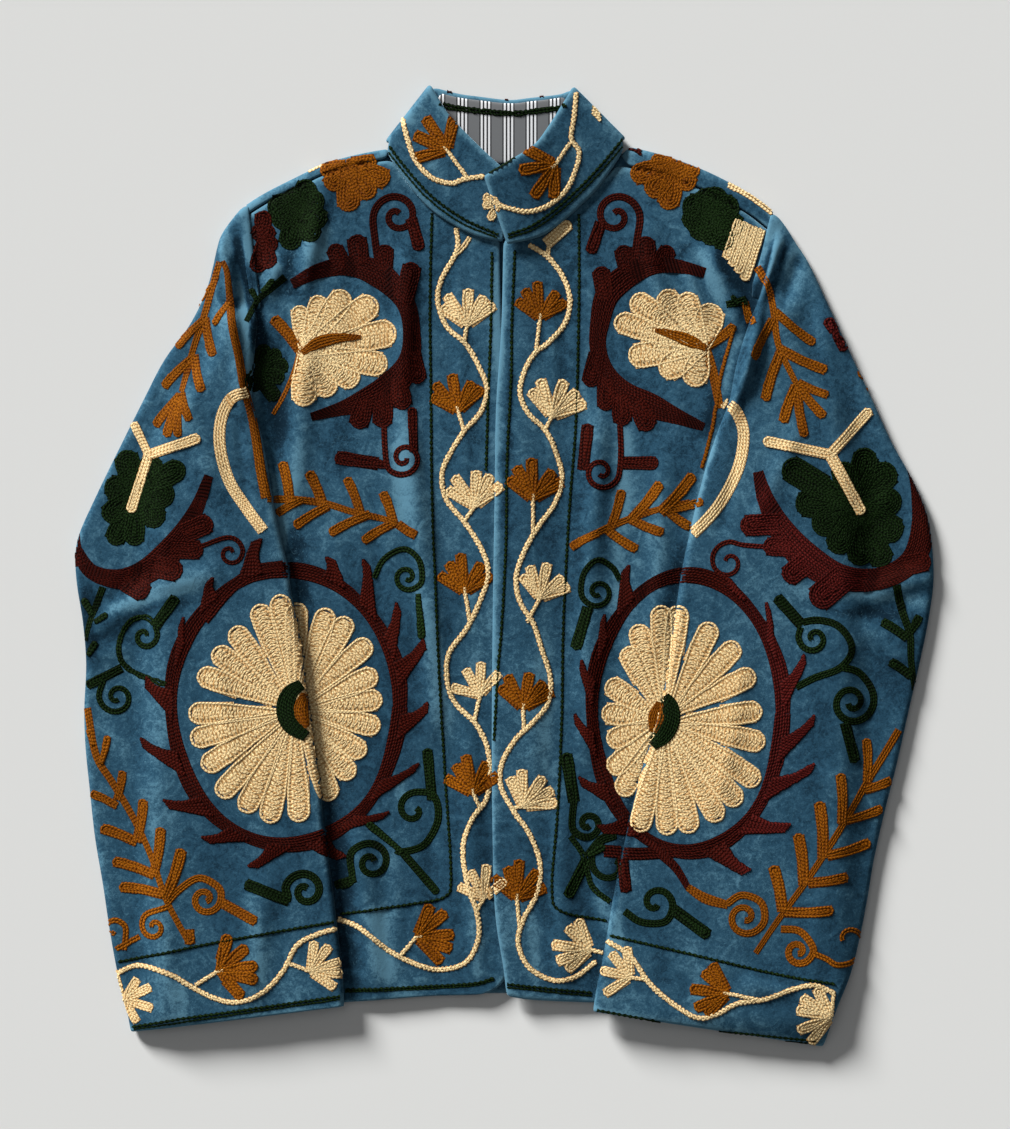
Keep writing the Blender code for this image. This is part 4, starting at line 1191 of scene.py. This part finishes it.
# Bars set along a stem
sprigs = [
    # stem, then bars from x, y to x, y, width
    ([(268, 499), (300, 500), (327, 504), (353, 512), (390, 521), (414, 535)],
     [(290, 502, 282, 461, 11), (323, 505, 308, 471, 11), (361, 515, 346, 477, 10), (394, 524, 382, 491, 10),
      (302, 500, 276, 514, 9), (328, 506, 294, 527, 10), (370, 514, 329, 534, 10), (396, 522, 362, 542, 10),
      (398, 524, 417, 536, 10)]),
    ([(572, 546), (590, 537), (607, 528), (632, 518), (653, 511), (690, 502)],
     [(609, 532, 622, 489, 10), (630, 521, 661, 482, 11), (660, 513, 694, 474, 12), (606, 529, 638, 550, 10),
      (630, 519, 664, 533, 10), (666, 510, 692, 528, 10), (668, 510, 703, 501, 9), (598, 533, 570, 548, 9)]),
    ([(220, 262), (213, 285), (203, 320), (193, 350), (182, 392)],
     [(213, 283, 191, 318, 6), (207, 317, 176, 348, 9), (205, 318, 214, 357, 10), (195, 356, 163, 388, 10),
      (194, 355, 203, 393, 10), (181, 395, 155, 427, 10), (181, 396, 167, 438, 10), (181, 395, 179, 438, 9),
      (182, 393, 191, 422, 9), (230, 303, 214, 326, 8)]),
    ([(757, 267), (768, 288), (773, 313), (778, 347), (796, 386)],
     [(774, 312, 815, 344, 10), (772, 320, 752, 361, 10), (779, 350, 827, 371, 11), (780, 352, 764, 402, 11),
      (797, 383, 828, 396, 9), (797, 386, 824, 418, 10), (796, 388, 804, 438, 10), (795, 386, 782, 424, 11),
      (745, 302, 752, 326, 9)]),
    ([(87, 708), (96, 755), (112, 782), (133, 817), (152, 856), (168, 900), (190, 942)],
     [(101, 763, 108, 735, 8), (117, 800, 123, 770, 9), (137, 842, 144, 798, 11), (154, 876, 162, 826, 11),
      (167, 896, 183, 847, 12), (117, 806, 90, 793, 9), (137, 842, 100, 828, 11), (155, 874, 112, 861, 11),
      (165, 893, 119, 887, 11), (93, 745, 88, 728, 7)]),
    ([(899, 730), (882, 758), (864, 787), (837, 832), (807, 878), (776, 921), (755, 952)],
     [(782, 910, 772, 864, 12), (803, 884, 797, 832, 12), (822, 857, 818, 800, 12), (841, 823, 839, 772, 11),
      (867, 782, 866, 738, 10), (783, 911, 833, 909, 11), (807, 882, 848, 876, 11), (826, 855, 871, 842, 11),
      (845, 820, 883, 808, 10), (864, 790, 892, 780, 10)]),
]
for stem, bars in sprigs:
    sprig(stem, bars, "ochre")
band([(223, 262), (228, 275), (233, 323), (240, 357), (245, 387), (252, 413), (257, 440), (262, 473), (267, 498)],
     waist(5, 8, 8, 9, 10), "ochre", 0.0)
band([(735, 326), (722, 372), (712, 430), (702, 468)], 4, "ochre")
petal(190, 928, 191, 944, 11, "ochre", 0.1, 0.8)

# Patches at the shoulders, and the leaves
patches = [
    # foot x, y, thread, tips as x, y, width
    (346, 164, "ochre", [(320, 172, 18), (328, 190, 22), (349, 212, 24), (373, 198, 24), (390, 181, 22),
                         (377, 161, 16)]),
    (676, 164, "ochre", [(700, 173, 18), (692, 190, 22), (667, 210, 24), (648, 196, 24), (630, 176, 22),
                         (650, 160, 16)]),
    (298, 204, "green", [(267, 208, 26), (274, 226, 24), (288, 250, 24), (304, 238, 24), (315, 242, 22), (325, 226, 26),
                         (325, 200, 26), (311, 180, 24), (286, 190, 26)]),
    (710, 208, "green", [(682, 206, 28), (684, 226, 26), (696, 240, 24), (712, 246, 24), (728, 250, 24), (742, 232, 26),
                         (740, 208, 28), (722, 188, 26), (702, 188, 26)]),
    (263, 238, "maroon", [(253, 226, 16), (263, 210, 18), (257, 273, 18), (270, 269, 18), (276, 250, 18),
                          (273, 226, 16)]),
    (256, 372, "green", [(289, 364, 16), (285, 378, 16), (277, 400, 16), (266, 344, 16), (252, 392, 18),
                         (280, 350, 14)]),
    (136, 492, "green", [(124, 450, 26), (158, 456, 26), (186, 466, 24), (176, 496, 30), (162, 526, 26), (134, 546, 22),
                         (112, 545, 22), (104, 520, 24), (104, 486, 26), (122, 470, 30)]),
    (852, 506, "green", [(782, 464, 28), (794, 502, 30), (812, 530, 30), (834, 554, 28), (862, 566, 28), (886, 566, 26),
                         (902, 536, 30), (902, 500, 30), (894, 466, 30), (868, 448, 28), (840, 462, 26)]),
]
sewn["beyond"] = True
for x, y, thread, tips in patches:
    cluster(x, y, tips, 24, thread, 0.0, 0.6)
sprig([(285, 277), (270, 290), (258, 300), (247, 322)], [(262, 292, 274, 279, 7), (256, 300, 250, 288, 6)], "green", 6)
sprig([(747, 300), (736, 303), (726, 305)], [(738, 303, 730, 296, 6)], "green", 8)
for k in range(4):
    petal(761 - 7 * k, 229 - 3 * k, 744 - 6 * k, 281 - 7 * k, 11, "cream", 0.1, 1.0)
sewn["beyond"] = False

strips = [
    # points along a shoulder, half-width, rows, thread
    ([(325, 161), (346, 154), (372, 147)], 1.9, 2, "maroon"), ([(308, 168), (316, 164), (322, 161)], 1.9, 3, "cream"),
    ([(375, 147), (380, 146), (385, 146)], 1.9, 2, "cream"), ([(629, 145), (636, 147), (641, 151)], 2.0, 3, "maroon"),
    ([(728, 184), (750, 196), (772, 212)], 1.9, 2, "cream"), ([(592, 110), (596, 113), (600, 118)], 1.9, 3, "cream"),
]
for points, half, rows, thread in strips:
    for k in range(rows):
        sewRow([(x, y + 3.4 * (k - 0.5 * rows + 0.5)) for x, y in curve(points, 6).line], half, thread, 0.05, 0.6,
               beyond=True)

# Forks and bows of cream on the sleeves
for x, y, arms in (
    (149, 455, [(133, 422, 9), (202, 438, 11), (130, 513, 11)]),
    (829, 455, [(762, 441, 11), (871, 409, 11), (862, 515, 12)]),
):
    for ax, ay, width in arms:
        petal(x, y, ax, ay, width, "cream", 0.5, 0.8)
band([(248, 393), (232, 399), (222, 420), (221, 448), (230, 481), (247, 508), (264, 531)], 11, "cream", 0.1)
band([(724, 402), (736, 413), (743, 435), (738, 467), (723, 498), (708, 518), (692, 534)], 11, "cream", 0.1)

branches = {
    # spine, its widths, fingers as foot x, y to tip x, y, width
    "right": ([(77, 552), (92, 572), (122, 579), (154, 567), (180, 540), (198, 508), (210, 476)],
              (12, 16, 22, 27, 22, 14, 9),
              [(184, 534, 214, 521, 21), (172, 549, 205, 550, 20), (152, 566, 184, 572, 23), (124, 578, 150, 594, 25)]),
    "left": ([(757, 472), (765, 500), (782, 532), (808, 560), (842, 578), (882, 578), (912, 560), (923, 528),
              (919, 488), (906, 452), (898, 440)], (10, 18, 26, 30, 26, 22, 22, 24, 20, 12, 6),
             [(778, 524, 739, 526, 22), (790, 548, 762, 546, 19), (806, 562, 783, 580, 23), (842, 578, 811, 604, 29),
              (904, 566, 931, 560, 21)]),
}
for spine, widths, fingers in branches.values():
    band(spine, waist(*widths), "maroon", 0.05)
    for x0, y0, x1, y1, width in fingers:
        petal(x0, y0, x1, y1, width, "maroon", 0.1, 1.0)
band([(76, 528), (76, 545), (79, 566)], waist(6, 10, 14), "maroon")
cluster(838, 336, [(826, 318), (832, 336), (846, 351)], 13, "maroon")
cluster(866, 382, [(858, 370), (870, 392)], 7, "ochre")

curls = [
    # lead-in points, the spiral's middle, turns, width, thread
    ([(378, 262), (375, 240), (373, 217)], 397, 216, -1.35, 7, "maroon"),
    ([(634, 262), (637, 240), (640, 217)], 616, 216, 1.35, 7, "maroon"),
    ([(384, 425), (385, 450), (388, 468)], 404, 458, 1.4, 6, "maroon"),
    ([(620, 425), (621, 450), (620, 468)], 601, 472, -1.4, 6, "maroon"),
    ([(203, 546), (222, 539)], 231, 553, -1.3, 5, "maroon"), ([(768, 547), (742, 545)], 728, 562, 1.3, 5, "maroon"),
    ([(374, 578), (384, 559), (404, 549), (419, 560), (422, 580)], 407, 577, -1.3, 6, "green"),
    ([(620, 580), (612, 567), (597, 560), (584, 573), (581, 592)], 598, 592, 1.35, 6, "green"),
    ([(156, 626)], 145, 636, -1.1, 6, "green"), ([(104, 679), (99, 695)], 117, 697, 1.35, 6, "green"),
    ([(800, 627)], 813, 638, 1.2, 6.5, "green"), ([(840, 667), (858, 672), (871, 688)], 851, 702, -1.55, 7, "green"),
    ([(396, 850), (402, 852), (424, 845), (438, 820), (434, 796), (418, 792)], 414, 810, 0.9, 7, "green"),
    ([(340, 886), (352, 880), (350, 856)], 371, 862, -1.4, 7, "green"),
    ([(574, 800), (572, 826)], 588, 824, 1.35, 7, "green"),
    ([(587, 856), (602, 838), (616, 836)], 612, 864, 0.9, 7, "green"),
    ([(246, 884), (286, 899)], 306, 890, -1.4, 8, "green"),
    ([(624, 910), (641, 921), (664, 921), (672, 908)], 655, 902, 0.95, 7, "green"),
    ([(168, 902), (180, 889), (200, 877), (219, 886)], 206, 898, -1.3, 7, "ochre"),
    ([(168, 906), (148, 913)], 155, 926, 1.2, 6, "ochre"), ([(124, 950), (126, 930)], 113, 930, 0.9, 6, "ochre"),
    ([(726, 903), (741, 894), (760, 901), (764, 918)], 744, 916, -1.25, 7, "ochre"),
    ([(780, 928), (799, 930), (812, 946)], 797, 950, -1.3, 7, "ochre"),
    ([(812, 952), (826, 958), (836, 964)], 846, 940, 0.8, 6, "ochre"),
]
for lead, x, y, turns, width, thread in curls:
    curl(lead, x, y, turns, width, thread)
barsOfGreen = [
    # x, y to x, y, width
    (418, 594, 422, 640, 8), (588, 607, 575, 650, 12), (156, 626, 178, 596, 12), (801, 625, 775, 596, 12),
    (844, 722, 855, 763, 12), (432, 800, 427, 748, 11), (402, 852, 366, 822, 8), (402, 852, 438, 894, 9),
    (574, 802, 566, 752, 13), (587, 859, 567, 898, 12), (290, 900, 245, 882, 12), (672, 908, 709, 935, 13),
    (122, 668, 86, 686, 10), (356, 878, 334, 886, 9), (588, 856, 606, 846, 8),
]
for x0, y0, x1, y1, width in barsOfGreen:
    petal(x0, y0, x1, y1, width, "green", 0.05, 0.7)
band([(156, 625), (146, 617), (130, 622), (120, 640), (121, 660), (132, 671), (148, 678), (167, 684)], 6, "green")
band([(802, 622), (817, 620), (836, 625), (849, 640), (850, 655), (837, 669), (815, 677), (795, 687)], 7, "green")
band([(570, 836), (583, 855), (592, 886), (610, 902)], 6, "green")
petal(223, 902, 258, 921, 11, "ochre", 0.05, 0.7)
band([(140, 936), (128, 943), (116, 949)], 6, "ochre")
sprig([(103, 587), (96, 605), (89, 625), (85, 640)],
      [(92, 615, 82, 598, 8), (95, 622, 108, 613, 7), (88, 655, 96, 641, 8)], "green", 6)
sprig([(896, 585), (902, 610), (910, 635), (911, 660), (915, 690)],
      [(907, 638, 881, 621, 10), (910, 632, 920, 615, 9), (911, 676, 889, 661, 10)], "green", 7)

# The big daisies in their rings of thorns
daisies = [
    # middle, then clusters of tips
    (296, 710, [[(258, 604), (280, 594), (297, 602)], [(233, 627), (214, 649), (198, 673)],
                [(189, 713), (191, 740), (203, 768)], [(219, 796), (244, 812), (269, 823)], [(300, 822)],
                [(332, 801), (353, 779), (366, 755)], [(381, 728), (383, 699), (378, 673)],
                [(371, 641), (349, 617), (328, 608)]]),
    (664, 720, [[(625, 647), (637, 624)], [(661, 605), (679, 605)], [(712, 622), (738, 643), (755, 673)],
                [(762, 710), (765, 743), (759, 783)], [(740, 804), (719, 821), (690, 833)],
                [(667, 835), (638, 832)], [(620, 796), (609, 773)], [(607, 743), (601, 713), (606, 682)]]),
]
for x, y, clusters in daisies:
    for tips in clusters:
        foot = mix((x, y), (sum(a for a, _ in tips) / len(tips), sum(b for _, b in tips) / len(tips)), 0.07)
        for tipX, tipY in tips:
            petal(*foot, tipX, tipY, 23, "cream", 0.1, 0.3, 0.0, True)
band([(302, 684), (291, 692), (286, 708), (291, 724), (307, 736)], waist(10, 16, 18, 16, 10), "green", 0.9)
band([(305, 693), (301, 710), (307, 727)], waist(6, 15, 6), "ochre", 0.8)
band([(664, 696), (669, 704), (670, 718), (664, 733), (652, 745)], waist(10, 17, 19, 17, 10), "green", 0.9)
band([(660, 702), (656, 717), (653, 732)], waist(7, 15, 7), "ochre", 0.95)
thornRings = [
    # middle, mid radii, then thorns from foot to tip
    (286, 707, 114, 137, [
        (217, 606, 211, 580), (182, 650, 183, 621), (168, 696, 146, 681), (172, 762, 142, 742), (202, 804, 167, 803),
        (236, 830, 206, 839), (276, 842, 253, 866), (322, 840, 342, 858), (348, 818, 386, 815), (374, 782, 417, 767),
        (397, 722, 428, 707), (401, 668, 425, 643), (392, 640, 398, 606), (370, 600, 366, 562), (330, 578, 330, 558),
        (256, 572, 258, 540), (160, 700, 172, 716)]),
    (687, 713, 95, 138, [
        (628, 600, 626, 568), (606, 645, 603, 618), (595, 688, 581, 664), (592, 740, 575, 718), (607, 792, 580, 781),
        (626, 826, 600, 829), (652, 848, 672, 864), (717, 842, 746, 871), (752, 826, 787, 827), (776, 791, 812, 767),
        (782, 746, 813, 719), (782, 690, 804, 658), (764, 648, 767, 606), (728, 600, 727, 578)]),
]
for x, y, radiusX, radiusY, thorns in thornRings:
    points = [(x + radiusX * math.cos(a) * (1 + 0.012 * math.sin(5 * a)), y - radiusY * math.sin(a))
              for a in (2 * math.pi * k / 40 for k in range(41))]
    band(points, lambda s: 14.0 + 2.2 * math.sin(34 * s), "maroon", 0.02)
    for x0, y0, x1, y1 in thorns:
        a = math.atan2(-(y0 - y) / radiusY, (x0 - x) / radiusX)
        along = (-radiusX * math.sin(a), -radiusY * math.cos(a))
        size = math.hypot(*along)
        foot = (x + radiusX * math.cos(a), y - radiusY * math.sin(a))
        thorn(foot, (x1, y1), (along[0] / size, along[1] / size), 2.0)
band([(205, 620), (230, 590), (256, 571), (284, 566)], 11, "maroon", 0.05)
band([(604, 851), (640, 853), (680, 850)], 12, "maroon", 0.05)
petal(622, 858, 626, 892, 12, "maroon", 0.1, 0.8)
band([(660, 852), (676, 868), (688, 888)], waist(10, 8, 6), "maroon", 0.1)
band([(687, 886), (704, 897), (727, 904)], waist(7, 10, 8), "ochre", 0.1)

made = 0
stitching = {}
for (panel, thread), data in sorted(rowsOf.items()):
    mesh = bpy.data.meshes.new(f"stitches_{panel}_{thread}")
    mesh.from_pydata(data["verts"], [], data["faces"])
    layer = mesh.uv_layers.new(name="rows")
    for loop in mesh.loops:
        layer.data[loop.index].uv = data["uvs"][loop.vertex_index]
    mesh.shade_smooth()
    mesh.materials.append(threads[thread])
    obj = bpy.data.objects.new(mesh.name, mesh)
    bpy.context.scene.collection.objects.link(obj)
    stitching.setdefault(panel, []).append(obj)
    made += 2 * len(data["faces"])
print("embroidery made", counter["rows"], "rows", made, "triangles")

# Each piece and its stitching lie with the jacket; each cloth's cut is read from the table but not used
cuts = {
    # width, length, and area where the cut isn't a rectangle
    "back": (0.52, 0.68, 0.325), "front_right": (0.26, 0.66, 0.14), "front_left": (0.26, 0.66, 0.14),
    "sleeve_right": (0.35, 0.6, 0.175), "sleeve_left": (0.35, 0.6, 0.175),
    "collar": (0.46, 0.055, None), "collar_lining": (0.14, 0.05, None),
}
for name, obj in panels.items():
    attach(obj, "root")
    for work in stitching.get(name, []):
        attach(work, "root")
    width, length, area = cuts[name]
    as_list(stitching.get(name, []))

# Floor, light and camera
bpy.ops.object.select_all(action="DESELECT")
floorSettings = {"size": 8, "below": 0.0004}
bpy.ops.mesh.primitive_plane_add(size=floorSettings["size"], location=(0, 0, -floorSettings["below"]))
floor = bpy.context.object
floor.name = "floor"
paper, tree, shader = newMaterial("palePaper", {"Base Color": (0.7, 0.702, 0.685, 1), "Roughness": 0.95,
                                               "Specular IOR Level": 0.1})
floor.data.materials.append(paper)

lights = {
    # kind, x, y, z towards the lamp, angle or size, strength
    "window": ("SUN", -0.85, 1.12, 0.54, 17, 7.2),
    "fill": ("AREA", -0.5, 0.2, 2.4, 1.8, 5),
}
for name, (kind, x, y, z, size, strength) in lights.items():
    lamp = bpy.data.lights.new(name, kind)
    if kind == "SUN":
        lamp.angle = math.radians(size)
    else:
        lamp.shape = "SQUARE"
        lamp.size = size
    lamp.energy = strength
    obj = bpy.data.objects.new(name, lamp)
    obj.location = (x, y, z)
    obj.rotation_mode = "QUATERNION"
    obj.rotation_quaternion = Vector((-x, -y, -z)).to_track_quat("-Z", "Y")
    bpy.context.scene.collection.objects.link(obj)
world = bpy.data.worlds.new("room")
bpy.context.scene.world = world
world.use_nodes = True
world.node_tree.nodes["Background"].inputs["Color"].default_value = (0.96, 0.97, 1.0, 1)
world.node_tree.nodes["Background"].inputs["Strength"].default_value = 0.12

cameraSettings = {"sensor": 36, "distance": 2.4, "longSide": pageHeight * pageUnit * mm, "plane": 0.008}
camera = bpy.data.objects.new("camera", bpy.data.cameras.new("camera"))
camera.data.sensor_width = cameraSettings["sensor"]
camera.data.lens = cameraSettings["sensor"] * cameraSettings["distance"] / cameraSettings["longSide"]
camera.location = (0, ((pageY - pageHeight / 2) * pageUnit + middleY) * mm,
                   cameraSettings["plane"] + cameraSettings["distance"])
bpy.context.scene.collection.objects.link(camera)
bpy.context.scene.camera = camera

print("scene finished")
